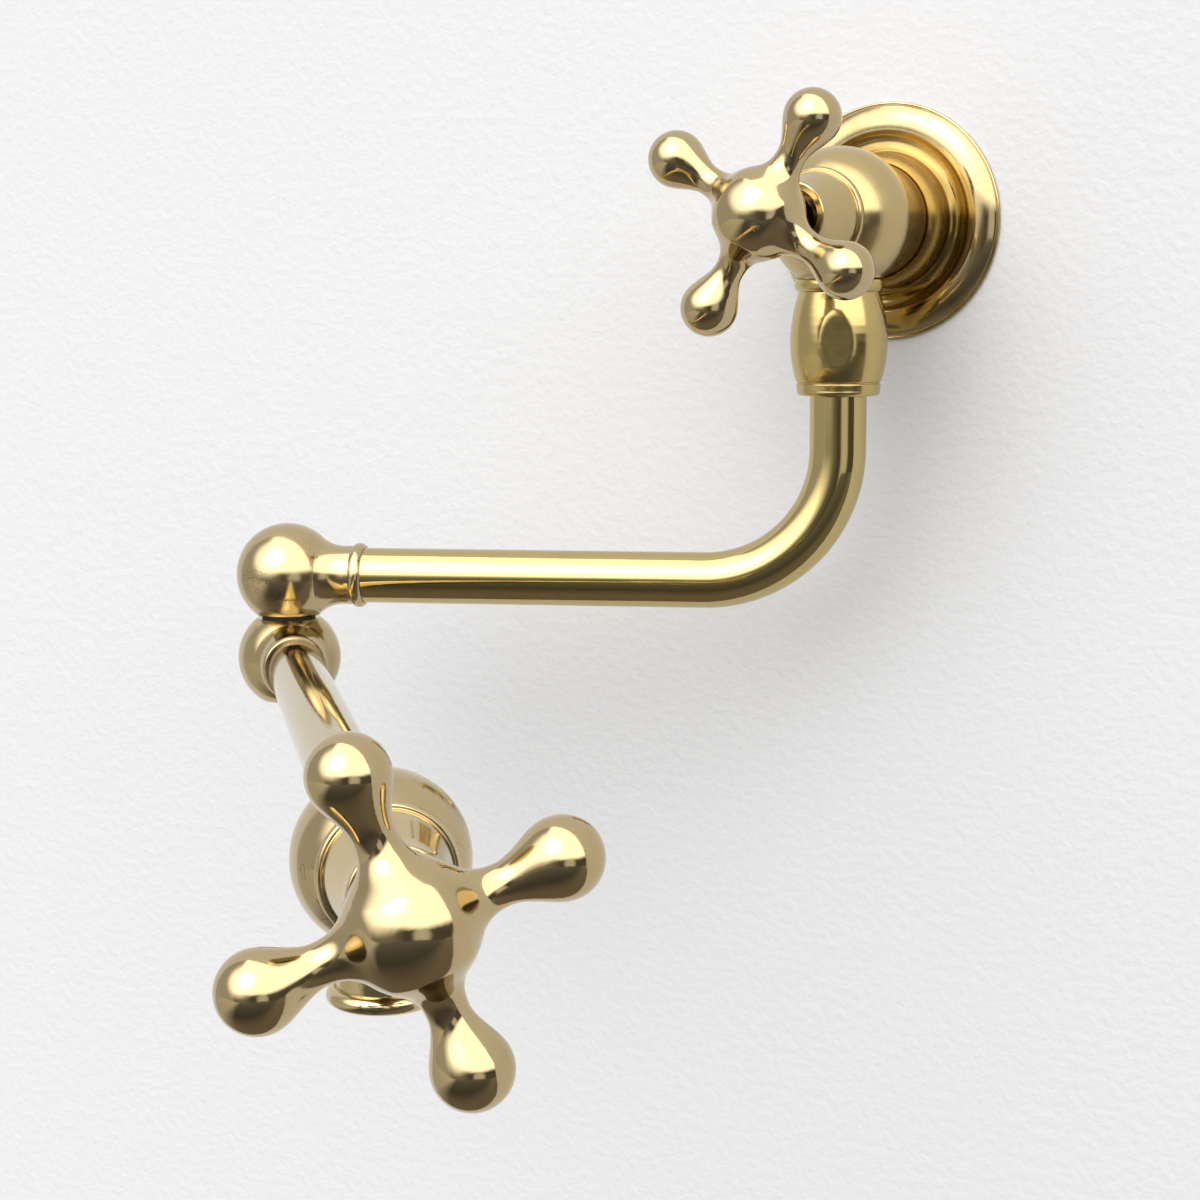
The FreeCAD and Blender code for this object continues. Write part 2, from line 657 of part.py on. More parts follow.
NUT_TOP = f"(0 - {OUTLET_FACE} - 0.35)"
NUT_LENGTH = cell("nut_length")
NUT_END = f"({NUT_TOP} - {NUT_LENGTH})"
TAIL_TOP = f"(0 - {THREAD_END} - 0.6)"
TAIL_END = f"({TAIL_TOP} - {cell('tail_flange')})"
WASHER_END = f"({TAIL_END} - {FACE} - {cell('swivel_washer_thickness')})"
NUT_SHELF = f"({WASHER_END} - {FACE})"
NUT_HOLE = f"({TUBE} + 0.12)"
WAIST_AT = f"({NUT_TOP} - {cell('nut_collar')})"
BELLY_AT = f"({NUT_TOP} - 0.53 * {NUT_LENGTH})"
GROOVE_AT = f"({NUT_END} + 4.1)"
nut_turned = lathe("nut_turned", [
    (NUT_BORE, NUT_TOP),
    (f"{NUT_TOP_RADIUS} - 0.6", NUT_TOP),
    (NUT_WAIST, WAIST_AT, NUT_TOP_RADIUS, f"0.56 * {NUT_TOP} + 0.44 * {WAIST_AT}"),
    (NUT_BELLY, BELLY_AT, f"0.22 * {NUT_WAIST} + 0.78 * {NUT_BELLY}",
     f"0.45 * {WAIST_AT} + 0.55 * {BELLY_AT}"),
    (f"{NUT_FOOT} + 0.3", GROOVE_AT, f"0.25 * {NUT_FOOT} + 0.75 * {NUT_BELLY}",
     f"0.45 * {BELLY_AT} + 0.55 * {GROOVE_AT}"),
    (f"{NUT_FOOT} - 0.3", f"{GROOVE_AT} - 0.1"),
    (f"{NUT_FOOT} - 0.3", f"{GROOVE_AT} - 0.6"),
    (NUT_FOOT, f"{GROOVE_AT} - 0.7"),
    (f"{NUT_HOLE} + 1.2", NUT_END, f"{NUT_FOOT} - 0.14 * ({NUT_FOOT} - {NUT_HOLE})", f"{NUT_END} + 1"),
    (NUT_HOLE, NUT_END),
    (NUT_HOLE, NUT_SHELF),
    (NUT_BORE, NUT_SHELF),
])
FLAT_AT = f"({NUT_BELLY} - {cell('nut_flat_depth')})"
FLAT_HIGH = cell("nut_flat_height")
FLAT_LOW = f"({BELLY_AT} - {FLAT_HIGH} / 2)"
swivel_nut = cut("nut_cut", nut_turned, [
    box("nut_flat_front", (2 * CLEAR, CLEAR, FLAT_HIGH), (-CLEAR, f"-{FLAT_AT} - {CLEAR}", FLAT_LOW)),
    box("nut_flat_back", (2 * CLEAR, CLEAR, FLAT_HIGH), (-CLEAR, FLAT_AT, FLAT_LOW)),
])
keep(swivel_nut, "swivel_nut", swivel_frame)

# Inner arm: tailpiece, rings and thrust washer inside the nut, the bent tube and the upper elbow

RING = cell("swivel_ring_section")
RING_GROOVE = f"({SWIVEL_BORE} - 2 * {RING} - 0.05)"
GROOVE_WIDTH = f"(2 * {RING} + 0.14)"
SPIGOT_TOP = f"({TAIL_TOP} + {cell('spigot_length')})"
TUBE_TOP = f"({TAIL_END} + 2.4)"
TAIL_BORE = f"({RING_GROOVE} - 0.95)"
TAIL_FLANGE = f"({SWIVEL_THREAD} - 0.25)"
ring_tops = [f"({SPIGOT_TOP} - 2)", f"({SPIGOT_TOP} - 5.5)"]
tail_steps = [
    (TAIL_BORE, TUBE_TOP),
    (TAIL_BORE, SPIGOT_TOP),
    (f"{SPIGOT} - 0.4", SPIGOT_TOP),
    (SPIGOT, f"{SPIGOT_TOP} - 0.4"),
]
for groove_top in ring_tops:
    tail_steps += [
        (SPIGOT, groove_top),
        (RING_GROOVE, groove_top),
        (RING_GROOVE, f"{groove_top} - {GROOVE_WIDTH}"),
        (SPIGOT, f"{groove_top} - {GROOVE_WIDTH}"),
    ]
tail_steps += [
    (SPIGOT, TAIL_TOP),
    (TAIL_FLANGE, TAIL_TOP),
    (TAIL_FLANGE, TAIL_END),
    (SOCKET, TAIL_END),
    (SOCKET, TUBE_TOP),
]
keep(lathe("tail_turned", tail_steps), "swivel_tailpiece", swivel_frame)
for name, groove_top in zip(("swivel_ring_upper", "swivel_ring_lower"), ring_tops):
    middle = f"{groove_top} - {GROOVE_WIDTH} / 2"
    keep(o_ring(name + "_turned", f"{RING_GROOVE} + 0.01", RING, middle), name, swivel_frame)
keep(ring("swivel_washer_turned", NUT_HOLE, TAIL_FLANGE, WASHER_END, f"{TAIL_END} - {FACE}"),
     "swivel_washer", swivel_frame)

DROP = cell("inner_drop")
BEND = cell("bend_radius")
RUN_END = f"({cell('inner_reach')} - {ELBOW_STOP} - {FACE})"


def bent_bar(name, radius, overrun):
    """The inner arm's path as a solid bar: down, through the bend and out along -X."""
    bend = doc.addObject("Part::Torus", name + "_bend")
    bend.setExpression("Radius1", BEND)
    bend.setExpression("Radius2", radius)
    bend.Angle3 = 90
    bend.Placement = Placement(V(), TURNS["back"])
    bend.setExpression("Placement.Base.x", f"-{BEND}")
    bend.setExpression("Placement.Base.z", f"-({DROP} - {BEND})")
    return fuse(name, [
        cylinder(name + "_drop", radius, f"0 - {TUBE_TOP} + {FACE} - {overrun}", f"{DROP} - {BEND}", "down"),
        bend,
        cylinder(name + "_run", radius, BEND, f"{RUN_END} + {overrun}", "left", (0, 0, f"-{DROP}")),
    ])


inner_tube = cut("inner_tube_cut", bent_bar("inner_bar", TUBE, 0), [bent_bar("inner_void", TUBE_BORE, 1)])
keep(inner_tube, "inner_arm_tube", swivel_frame)


def neck_profile(ball, stop):
    """A flared neck that leaves a ball and ends in a bead round the tube."""
    bead = cell("bead_width")
    mouth = f"({stop} + {cell('socket_depth')})"
    start = f"(0.62 * {ball})"
    start_r = f"(sqrt({ball}^2 - {start}^2))"
    flare_end = f"({mouth} - {bead} - 1.3)"
    core = f"(0.5 * {TUBE_BORE})"
    return [
        (core, 0),
        (start_r, 0),
        (start_r, start),
        (SOCKET_OUT, flare_end, f"0.3 * {start_r} + 0.7 * {SOCKET_OUT} - 0.3",
         f"0.58 * {start} + 0.42 * {flare_end}"),
        (SOCKET_OUT, f"{mouth} - {bead}"),
        (SOCKET_OUT, mouth, f"{SOCKET_OUT} + {cell('bead_height')}", f"{mouth} - {bead} / 2"),
        (SOCKET, mouth),
        (SOCKET, stop),
        (core, stop),
    ]


def elbow_solid(name):
    neck = turned(lathe(name + "_neck", neck_profile(ELBOW, ELBOW_STOP)), "right")
    return fuse(name + "_solid", [sphere(name + "_ball", ELBOW), neck])


upper_elbow = cut("upper_cut", elbow_solid("upper"), [
    cylinder("upper_flat", CLEAR, JOINT_FLAT, CLEAR, "down"),
    cylinder("upper_waterway", WATERWAY, 0, f"{ELBOW_STOP} + 0.5", "right"),
    cylinder("upper_socket", f"{PIVOT} + {RUN} + {FIT}", 0, CLEAR, "down"),
])
keep(upper_elbow, "upper_elbow", upper_frame)

# Hollow pivot, fixed in the upper elbow, with the rings, washers and nut that the lower elbow turns on

PIVOT_RING = cell("pivot_ring_section")
PIVOT_GROOVE = f"({PIVOT} + {RUN} - 2 * {PIVOT_RING} - 0.05)"
PIVOT_GROOVE_WIDTH = f"(2 * {PIVOT_RING} + 0.18)"
PIVOT_THREAD = f"({PIVOT_GROOVE} - 0.03)"
STACK = f"({cell('thrust_thickness')} + {cell('pivot_nut_height')} + {cell('cap_thickness')} + 0.6)"
SHELF = f"({BASE_FLAT} - {STACK})"
SHELF_AT = f"(0 - {HALF} - {SHELF})"
THRUST_END = f"({SHELF_AT} - {FACE} - {cell('thrust_thickness')})"
PIVOT_END = f"({THRUST_END} - {cell('pivot_nut_height')} - 0.3)"
FLAT_TOP = HALF_JOINT
pivot_tops = [f"(0 - {HALF_JOINT} - 2.9)", f"({SHELF_AT} + 2)"]
pivot_steps = [
    (cell("pivot_bore"), cell("pivot_grip")),
    (f"{PIVOT} + {RUN}", cell("pivot_grip")),
    (f"{PIVOT} + {RUN}", f"{FLAT_TOP} + 0.1"),
    (PIVOT, FLAT_TOP),
]
for groove_top in pivot_tops:
    pivot_steps += [
        (PIVOT, groove_top),
        (PIVOT_GROOVE, groove_top),
        (PIVOT_GROOVE, f"{groove_top} - {PIVOT_GROOVE_WIDTH}"),
        (PIVOT, f"{groove_top} - {PIVOT_GROOVE_WIDTH}"),
    ]
pivot_steps += [
    (PIVOT, f"{SHELF_AT} + 0.1"),
    (PIVOT_THREAD, f"{SHELF_AT} + 0.1"),
    (PIVOT_THREAD, PIVOT_END),
    (0, PIVOT_END),
    (0, f"{SHELF_AT} + 4.4"),
    (cell("pivot_bore"), f"{SHELF_AT} + 4.4"),
]
pivot = cut("pivot_cut", lathe("pivot_turned", pivot_steps), [
    cylinder("pivot_port_across", f"{cell('pivot_bore')} / 2", -CLEAR, CLEAR, "right", (0, 0, f"-{HALF}")),
    cylinder("pivot_port_along", f"{cell('pivot_bore')} / 2", -CLEAR, CLEAR, "front", (0, 0, f"-{HALF}")),
])
keep(pivot, "elbow_pivot", joint_frame)
for name, groove_top in zip(("elbow_ring_upper", "elbow_ring_lower"), pivot_tops):
    middle = f"{groove_top} - {PIVOT_GROOVE_WIDTH} / 2"
    keep(o_ring(name + "_turned", f"{PIVOT_GROOVE} + 0.01", PIVOT_RING, middle), name, joint_frame)
elbow_washer = ring("elbow_washer_turned", f"{PIVOT} + 0.3", f"{cell('joint_radius')} - 1.5",
                    f"{FACE} - {HALF_JOINT}", HALF_JOINT)
keep(elbow_washer, "elbow_washer", joint_frame)
thrust_washer = ring("thrust_washer_turned", f"{PIVOT_THREAD} + {FIT}", f"{RECESS} - 0.5",
                     THRUST_END, f"{SHELF_AT} - {FACE}")
keep(thrust_washer, "elbow_thrust_washer", joint_frame)
NUT_FACE = f"({THRUST_END} - 0.01)"
pivot_nut_hex = hexagon("pivot_nut_hex", f"{RECESS} - 0.6",
                        f"{NUT_FACE} - {cell('pivot_nut_height')}", NUT_FACE)
pivot_nut = cut("pivot_nut_cut", pivot_nut_hex, [
    cylinder("pivot_nut_bore", f"{PIVOT_THREAD} + {FIT}", -CLEAR, 0),
])
keep(pivot_nut, "elbow_nut", joint_frame)

# Outer arm: lower elbow with its cap, the straight tube and the end valve

CHAMBER = cell("chamber_height")
lower_elbow = cut("lower_cut", elbow_solid("lower"), [
    cylinder("lower_flat_top", CLEAR, JOINT_FLAT, CLEAR),
    cylinder("lower_flat_base", CLEAR, BASE_FLAT, CLEAR, "down"),
    cylinder("lower_waterway", WATERWAY, 0, f"{ELBOW_STOP} + 0.5", "right"),
    cylinder("lower_journal", f"{PIVOT} + {RUN}", -CLEAR, CLEAR),
    cylinder("lower_chamber", f"{PIVOT} + 3", f"-{CHAMBER} / 2", f"{CHAMBER} / 2"),
    cylinder("lower_recess", RECESS, SHELF, CLEAR, "down"),
])
keep(lower_elbow, "lower_elbow", lower_frame)
CAP = f"({RECESS} - {FIT})"
CAP_TOP = f"({cell('cap_thickness')} - {BASE_FLAT})"
cap_turned = lathe("cap_turned", [
    (0, f"-{BASE_FLAT}"),
    (f"{CAP} - 0.35", f"-{BASE_FLAT}"),
    (CAP, f"0.35 - {BASE_FLAT}"),
    (CAP, CAP_TOP),
    (0, CAP_TOP),
])
cap = cut("cap_cut", cap_turned, [
    box("cap_slot", (f"1.3 * {CAP}", 1.2, 1.4), (f"-0.65 * {CAP}", -0.6, f"-{BASE_FLAT} - 0.7")),
])
keep(cap, "elbow_cap", lower_frame)

END_STOP = f"({END_BALL} + 2.2)"
OUTER_END = f"({cell('outer_reach')} - {END_STOP} - {FACE})"
outer_bar = cylinder("outer_bar", TUBE, f"{ELBOW_STOP} + {FACE}", OUTER_END, "right")
outer_tube = cut("outer_tube_cut", outer_bar, [
    cylinder("outer_void", TUBE_BORE, 0, f"{OUTER_END} + 5", "right"),
])
keep(outer_tube, "outer_arm_tube", lower_frame)

end_body = cut("end_body", fuse("end_solid", [
    sphere("end_sphere", END_BALL),
    turned(lathe("end_neck", neck_profile(END_BALL, END_STOP)), "down"),
    cylinder("end_outlet", f"{NOZZLE} + 0.6", 0, NOZZLE_FACE, "front"),
]), [
    cylinder("end_facing", CLEAR, seat_height(END_BALL), CLEAR),
    cylinder("end_head_bore", HEAD_BORE, f"{seat_height(END_BALL)} - {cell('head_depth')} - 1", CLEAR),
    cylinder("end_supply", WATERWAY, 0, f"{END_STOP} + 0.5", "down"),
    cylinder("end_outlet_bore", f"{NOZZLE_THREAD} + {FIT}", f"{NOZZLE_FACE} - {NOZZLE_GRIP} - 0.5",
             CLEAR, "front"),
    cylinder("end_outlet_way", NOZZLE_WAY, 0, CLEAR, "front"),
])
keep(end_body, "end_valve_body", end_ball_frame)

LIP = f"({NOZZLE} + {cell('outlet_lip')})"
LIP_HIGH = cell("outlet_lip_height")
PLUG = cell("flow_plug_height")
nozzle = lathe("nozzle_turned", [
    (NOZZLE_WAY, f"{NOZZLE_GRIP} - {NOZZLE_FACE}"),
    (NOZZLE_THREAD, f"{NOZZLE_GRIP} - {NOZZLE_FACE}"),
    (NOZZLE_THREAD, f"0 - {NOZZLE_FACE} - 0.02"),
    (NOZZLE, f"0 - {NOZZLE_FACE} - 0.02"),
    (NOZZLE, f"{LIP_HIGH} - {NOZZLE_END}"),
    (f"{LIP} - 0.5", f"0.5 - {NOZZLE_END}", LIP, f"0.56 * {LIP_HIGH} - {NOZZLE_END}"),
    (f"{LIP} - 1.2", f"0 - {NOZZLE_END}"),
    (NOZZLE_BORE, f"0 - {NOZZLE_END}"),
    (NOZZLE_BORE, f"1.1 + {PLUG} - {NOZZLE_END}"),
    (NOZZLE_WAY, f"1.1 + {PLUG} - {NOZZLE_END}"),
])
keep(nozzle, "outlet_nozzle", nozzle_frame)

FLOW_HOLE = f"(0.18 * {NOZZLE_BORE})"
holes = [cylinder("flow_hole_middle", FLOW_HOLE, -CLEAR, 0)]
for index in range(6):
    angle = math.radians(60 * index)
    holes.append(cylinder(f"flow_hole_{index + 1}", FLOW_HOLE, -CLEAR, 0, "up", (
        f"{0.6 * math.cos(angle):.4f} * {NOZZLE_BORE}", f"{0.6 * math.sin(angle):.4f} * {NOZZLE_BORE}", 0)))
straightener = cut("flow_cut", cylinder(
    "flow_plug", f"{NOZZLE_BORE} - {FIT}", f"1 - {NOZZLE_END}", f"1 + {PLUG} - {NOZZLE_END}"), holes)
keep(straightener, "flow_straightener", nozzle_frame)

valve_head("end", end_head_frame, size("end_handle_angle"))

# Check every object, then write one file for each piece

doc.recompute()
faults = [obj.Name for obj in doc.Objects if "Invalid" in obj.State or "Error" in obj.State]
for node in nodes:
    if node.Shape.isNull() or not node.Shape.isValid() or len(node.Shape.Solids) != 1:
        faults.append(f"{node.Label} has {len(node.Shape.Solids)} solids")
if faults:
    raise RuntimeError("pieces that failed: " + ", ".join(faults))

os.makedirs("parts", exist_ok=True)
for node in nodes:
    node.Shape.exportStep(os.path.join("parts", node.Label + ".step"))
    print(f"{node.Label:24s} {node.Shape.Volume / 1000:8.2f} cm3")
print(len(nodes), "pieces")
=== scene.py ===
# %% [markdown]
# # A wall-mounted pot filler in polished brass
# The part is a double-jointed tap that folds away over a stove: a valve on the wall, a bent arm that swings
# under it, a ball elbow, a straight arm and a second valve with the outlet. The CAD pieces are loaded first
# and stay where they are. Each later cell explains one piece or one finish, and then makes it.

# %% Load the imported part
import json
import math

import bmesh
import bpy
import numpy as np
from mathutils import Matrix, Vector

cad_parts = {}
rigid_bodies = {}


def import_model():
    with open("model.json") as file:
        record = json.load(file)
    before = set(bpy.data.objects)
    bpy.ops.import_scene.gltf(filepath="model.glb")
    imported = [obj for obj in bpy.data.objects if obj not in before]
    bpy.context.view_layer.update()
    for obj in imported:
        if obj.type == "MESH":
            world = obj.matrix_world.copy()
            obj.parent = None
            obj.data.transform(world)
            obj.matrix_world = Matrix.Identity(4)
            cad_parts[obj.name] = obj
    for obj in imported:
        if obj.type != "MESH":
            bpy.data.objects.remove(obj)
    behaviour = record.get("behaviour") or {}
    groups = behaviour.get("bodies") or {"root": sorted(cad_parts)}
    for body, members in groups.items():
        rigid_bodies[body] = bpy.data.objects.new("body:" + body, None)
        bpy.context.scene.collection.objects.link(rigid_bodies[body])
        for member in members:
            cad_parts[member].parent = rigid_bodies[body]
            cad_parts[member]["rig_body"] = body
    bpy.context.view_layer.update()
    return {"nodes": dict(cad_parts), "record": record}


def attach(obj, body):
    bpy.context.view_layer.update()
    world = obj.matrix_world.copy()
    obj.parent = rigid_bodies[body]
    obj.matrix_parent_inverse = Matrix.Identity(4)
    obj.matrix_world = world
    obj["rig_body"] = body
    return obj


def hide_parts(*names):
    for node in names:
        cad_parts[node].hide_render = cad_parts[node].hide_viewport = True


for leftover in list(bpy.data.objects):
    bpy.data.objects.remove(leftover)
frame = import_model()
nodes = frame["nodes"]
MM = 0.001

# %% [markdown]
# ## Where the axes lie
# Every turned piece is described about its own axis, and a matrix then carries it to its place on the part.
# The wall valve looks straight out of the wall. The inner arm swings 20.6 degrees towards the room, and the
# outer arm leaves the elbow at 40 degrees from the wall's normal. Lengths are in millimetres.

# %% Frames of the assembly
INNER_ANGLE = math.radians(20.6)
OUTER_ANGLE = math.radians(40.0)
BALL_FROM_WALL = 36.0
INNER_REACH = 160.4
INNER_DROP = 102.0
ELBOW_STEP = 24.548
OUTER_REACH = 256.2
QUARTER = math.pi / 2


def spin(angle, axis):
    return Matrix.Rotation(angle, 4, axis)


def shift(x, y, z):
    return Matrix.Translation(Vector((x, y, z)) * MM)


inner_way = Vector((-math.cos(INNER_ANGLE), -math.sin(INNER_ANGLE), 0))
outer_way = Vector((math.sin(OUTER_ANGLE), -math.cos(OUTER_ANGLE), 0))
wall_ball = Vector((0, -BALL_FROM_WALL, 0))
upper_ball = wall_ball + inner_way * INNER_REACH - Vector((0, 0, INNER_DROP))
lower_ball = upper_ball - Vector((0, 0, ELBOW_STEP))
end_ball = lower_ball + outer_way * OUTER_REACH
WALL = spin(QUARTER, "X")
WALL_VALVE = shift(*wall_ball) @ WALL
SWIVEL = shift(*wall_ball) @ spin(INNER_ANGLE, "Z")
LOWER_NECK = shift(*lower_ball) @ spin(OUTER_ANGLE - QUARTER, "Z") @ spin(QUARTER, "Y")
OUTLET = shift(*end_ball) @ spin(OUTER_ANGLE, "Z")
END_VALVE = OUTLET @ WALL
print("end valve at", [round(v, 1) for v in end_ball], "mm")

# %% [markdown]
# ## Camera
# The photograph was taken from the right of the arm and a little above it, with a lens about twice as long as
# the frame is wide. A long lens keeps the near handle from looking swollen.

# %% Camera at the photograph's viewing angle
CAMERA_AT = (267.66, -661.20, -17.98)
YAW = math.radians(28.847)
PITCH = math.radians(7.491)
ROLL = math.radians(-0.177)
SENSOR_WIDTH = 36
LENS = 72


def new_object(name, data):
    """A new object that is linked to the scene."""
    obj = bpy.data.objects.new(name, data)
    bpy.context.scene.collection.objects.link(obj)
    return obj


camera = new_object("camera", bpy.data.cameras.new("camera"))
camera.data.sensor_width = SENSOR_WIDTH
camera.data.lens = LENS
camera.matrix_world = shift(*CAMERA_AT) @ spin(YAW, "Z") @ spin(QUARTER - PITCH, "X") @ spin(ROLL, "Z")
bpy.context.scene.camera = camera
bpy.context.scene.view_settings.view_transform = "Standard"
print("camera at", [round(v, 3) for v in camera.location])

# %% [markdown]
# ## Nodes in few lines
# A material or a geometry tree is a list of nodes and wires. This helper adds one node, sets its options and
# wires or fills its inputs, so that a tree reads from top to bottom like a recipe.

# %% A helper for node trees
def add(tree, kind, options=None, **inputs):
    """A new node. An input goes by its name with _ for a space, or by its place as _0, _1 and so on."""
    node = tree.nodes.new(kind)
    for key, value in (options or {}).items():
        setattr(node, key, value)
    for key, value in inputs.items():
        socket = node.inputs[int(key[1:]) if key.startswith("_") else key.replace("_", " ")]
        if isinstance(value, bpy.types.NodeSocket):
            tree.links.new(value, socket)
        else:
            socket.default_value = value
    return node


def math_node(tree, operation, first, second=0.0):
    return add(tree, "ShaderNodeMath", {"operation": operation}, _0=first, _1=second).outputs[0]


def spread(tree, value, low, high, to_low, to_high, curve="LINEAR"):
    """The value carried from low and high to two new ends, and held there."""
    options = {"clamp": True, "interpolation_type": curve}
    return add(tree, "ShaderNodeMapRange", options, Value=value, From_Min=low, From_Max=high, To_Min=to_low,
               To_Max=to_high).outputs[0]


def blend_colours(tree, amount, first, second):
    """From the first colour to the second. Each is three numbers or another node's colour."""
    first, second = ((*colour, 1) if isinstance(colour, tuple) else colour for colour in (first, second))
    return add(tree, "ShaderNodeMix", {"data_type": "RGBA"}, _0=amount, _6=first, _7=second).outputs[2]


def object_place(tree):
    return add(tree, "ShaderNodeTexCoord").outputs["Object"]


def noise(tree, place, scale, detail, roughness=0.5):
    return add(tree, "ShaderNodeTexNoise", Vector=place, Scale=scale, Detail=detail,
               Roughness=roughness).outputs[0]


print("node helpers ready")

# %% [markdown]
# ## Studio
# Polished metal has almost no colour of its own: it shows the room. A pale painted wall stands behind the
# part, with the faint grain that a roller leaves. The floor is dark, with painted light in its colour: a
# little lighter close to the wall and lighter on the left, which shades the undersides of the brass from
# black to brown. The wall is seen through from its back, so that the part can be looked at from behind.

# %% Wall and floor
SIDE = 4.0
FRONT = -4.0
FLOOR = -0.9
CEILING = 2.4
WALL_PAINT = (0.57, 0.57, 0.576)
FLOOR_FAR = (0.006, 0.005, 0.004)
# The two colours below are painted light on the floor: lighter close to the wall, and lighter on the left.
FLOOR_NEAR_PAINTED_LIGHT = (0.09, 0.075, 0.06)
FLOOR_PAINTED_LIGHT = (0.30, 0.29, 0.27)


def plain(name, colour, roughness):
    material = bpy.data.materials.new(name)
    material.use_nodes = True
    shader = material.node_tree.nodes["Principled BSDF"]
    shader.inputs["Base Color"].default_value = (*colour, 1)
    shader.inputs["Roughness"].default_value = roughness
    return material, material.node_tree, shader


def sheet(name, corners, material):
    mesh = bpy.data.meshes.new(name)
    mesh.from_pydata(corners, [], [(0, 1, 2, 3)])
    mesh.materials.append(material)
    new_object(name, mesh)


wall_paint, tree, shader = plain("wall_paint", WALL_PAINT, 0.75)
grain = noise(tree, object_place(tree), 330.0, 4.0, 0.55)
rolled = add(tree, "ShaderNodeBump", Height=grain, Strength=0.32, Distance=0.0008).outputs[0]
tree.links.new(rolled, shader.inputs["Normal"])
see_through = add(tree, "ShaderNodeBsdfTransparent").outputs[0]
backs = add(tree, "ShaderNodeNewGeometry").outputs["Backfacing"]
one_way = add(tree, "ShaderNodeMixShader", _0=backs, _1=shader.outputs[0], _2=see_through).outputs[0]
tree.links.new(one_way, tree.nodes["Material Output"].inputs["Surface"])
floor_paint_and_painted_light, tree, shader = plain("floor_paint_and_painted_light", FLOOR_FAR, 0.8)
over_floor = add(tree, "ShaderNodeSeparateXYZ", Vector=object_place(tree)).outputs
# Painted light: the floor's colour is lighter close to the wall and on the left, as if light fell there.
near_wall_painted_light = spread(tree, over_floor["Y"], -1.0, -0.4, 0.0, 1.0)
left_painted_light = spread(tree, over_floor["X"], -1.1, -0.5, 1.0, 0.0)
floor_with_painted_light = blend_colours(tree, near_wall_painted_light, FLOOR_FAR, FLOOR_NEAR_PAINTED_LIGHT)
floor_with_painted_light = blend_colours(tree, left_painted_light, floor_with_painted_light, FLOOR_PAINTED_LIGHT)
tree.links.new(floor_with_painted_light, shader.inputs["Base Color"])
wall_corners = [(-SIDE, 0, FLOOR), (SIDE, 0, FLOOR), (SIDE, 0, CEILING), (-SIDE, 0, CEILING)]
floor_corners = [(-SIDE, FRONT, FLOOR), (SIDE, FRONT, FLOOR), (SIDE, 0, FLOOR), (-SIDE, 0, FLOOR)]
sheet("wall", wall_corners, wall_paint)
sheet("floor", floor_corners, floor_paint_and_painted_light)
print("wall and floor", 2 * SIDE, "m wide")

# %% [markdown]
# ## Light
# The light is painted on the world and no lamp is used, so that its soft patches also show in the brass.
# Light comes in above eye height and is strongest up and in front, a little to the left. At eye height the
# room is dim, and that draws the crisp dark bands on the brass. On the right a small patch gives the balls a
# second, weaker light.

# %% The room's light
ROOM_DARK = (0.035, 0.033, 0.03)
EYE_HEIGHT_LEFT = (0.30, 0.29, 0.275)
EYE_HEIGHT_RIGHT = (0.12, 0.115, 0.11)
RIGHT_PATCH = (0.85, 0.85, 0.85)
OVERHEAD = (2.8, 2.8, 2.8)
LEFT_END = (0.60, 0.60, 0.60)
GLOW = (3.4, 3.4, 3.4)
GLOW_CORE = (5.5, 5.5, 5.5)

world = bpy.data.worlds.new("room")
bpy.context.scene.world = world
world.use_nodes = True
tree = world.node_tree
look = add(tree, "ShaderNodeTexCoord").outputs["Generated"]
way = add(tree, "ShaderNodeSeparateXYZ", Vector=look).outputs


def soft_spot(towards, edge, core):
    """A round patch of light in the room: full inside the core cosine and gone at the edge cosine."""
    centre = Vector(towards).normalized()
    cosine = add(tree, "ShaderNodeVectorMath", {"operation": "DOT_PRODUCT"}, _0=look, _1=centre)
    return spread(tree, cosine.outputs["Value"], edge, core, 0.0, 1.0, "SMOOTHSTEP")


to_the_right = spread(tree, way["X"], 0.05, 0.4, 0.0, 1.0)
eye_height = blend_colours(tree, to_the_right, EYE_HEIGHT_LEFT, EYE_HEIGHT_RIGHT)
room = blend_colours(tree, spread(tree, way["Z"], -0.42, -0.16, 0.0, 1.0), ROOM_DARK, eye_height)
room = blend_colours(tree, soft_spot((0.76, -0.64, -0.04), 0.95, 0.995), room, RIGHT_PATCH)
room = blend_colours(tree, spread(tree, way["Z"], 0.10, 0.24, 0.0, 1.0), room, OVERHEAD)
room = blend_colours(tree, spread(tree, way["X"], -0.50, -0.38, 1.0, 0.0), room, LEFT_END)
room = blend_colours(tree, soft_spot((-0.18, -0.74, 0.64), 0.67, 0.99), room, GLOW)
room = blend_colours(tree, soft_spot((-0.02, -0.74, 0.67), 0.90, 0.99), room, GLOW_CORE)
tree.links.new(room, tree.nodes["Background"].inputs["Color"])
print("room light has", len(tree.nodes), "nodes")

# %% [markdown]
# ## Marks of the tools, of ageing and of painted shade
# Each way of working brass leaves its own marks. A lathe leaves fine rings about the axis, a drawing die
# leaves lines along a tube, and years of wiping leave thin scratches. In the flange's dish and behind the
# wall valve's ball, where shade falls in the recess, the colour is painted a darker amber: painted shade.
# Each mark is a small function that returns a height or a mask, so that a finish can name the ones it
# carries.

# %% Patterns on the brass
def axis_coordinates(tree, matrix):
    """Height along a piece's axis and distance from it, for a piece whose mesh already sits in place."""
    inverse = matrix.inverted()
    local = add(tree, "ShaderNodeMapping", Vector=object_place(tree), Location=inverse.to_translation(),
                Rotation=inverse.to_euler("XYZ")).outputs[0]
    axes = add(tree, "ShaderNodeSeparateXYZ", Vector=local).outputs
    across = add(tree, "ShaderNodeCombineXYZ", X=axes["X"], Y=axes["Y"]).outputs[0]
    radius = add(tree, "ShaderNodeVectorMath", {"operation": "LENGTH"}, _0=across).outputs["Value"]
    return axes["Z"], radius


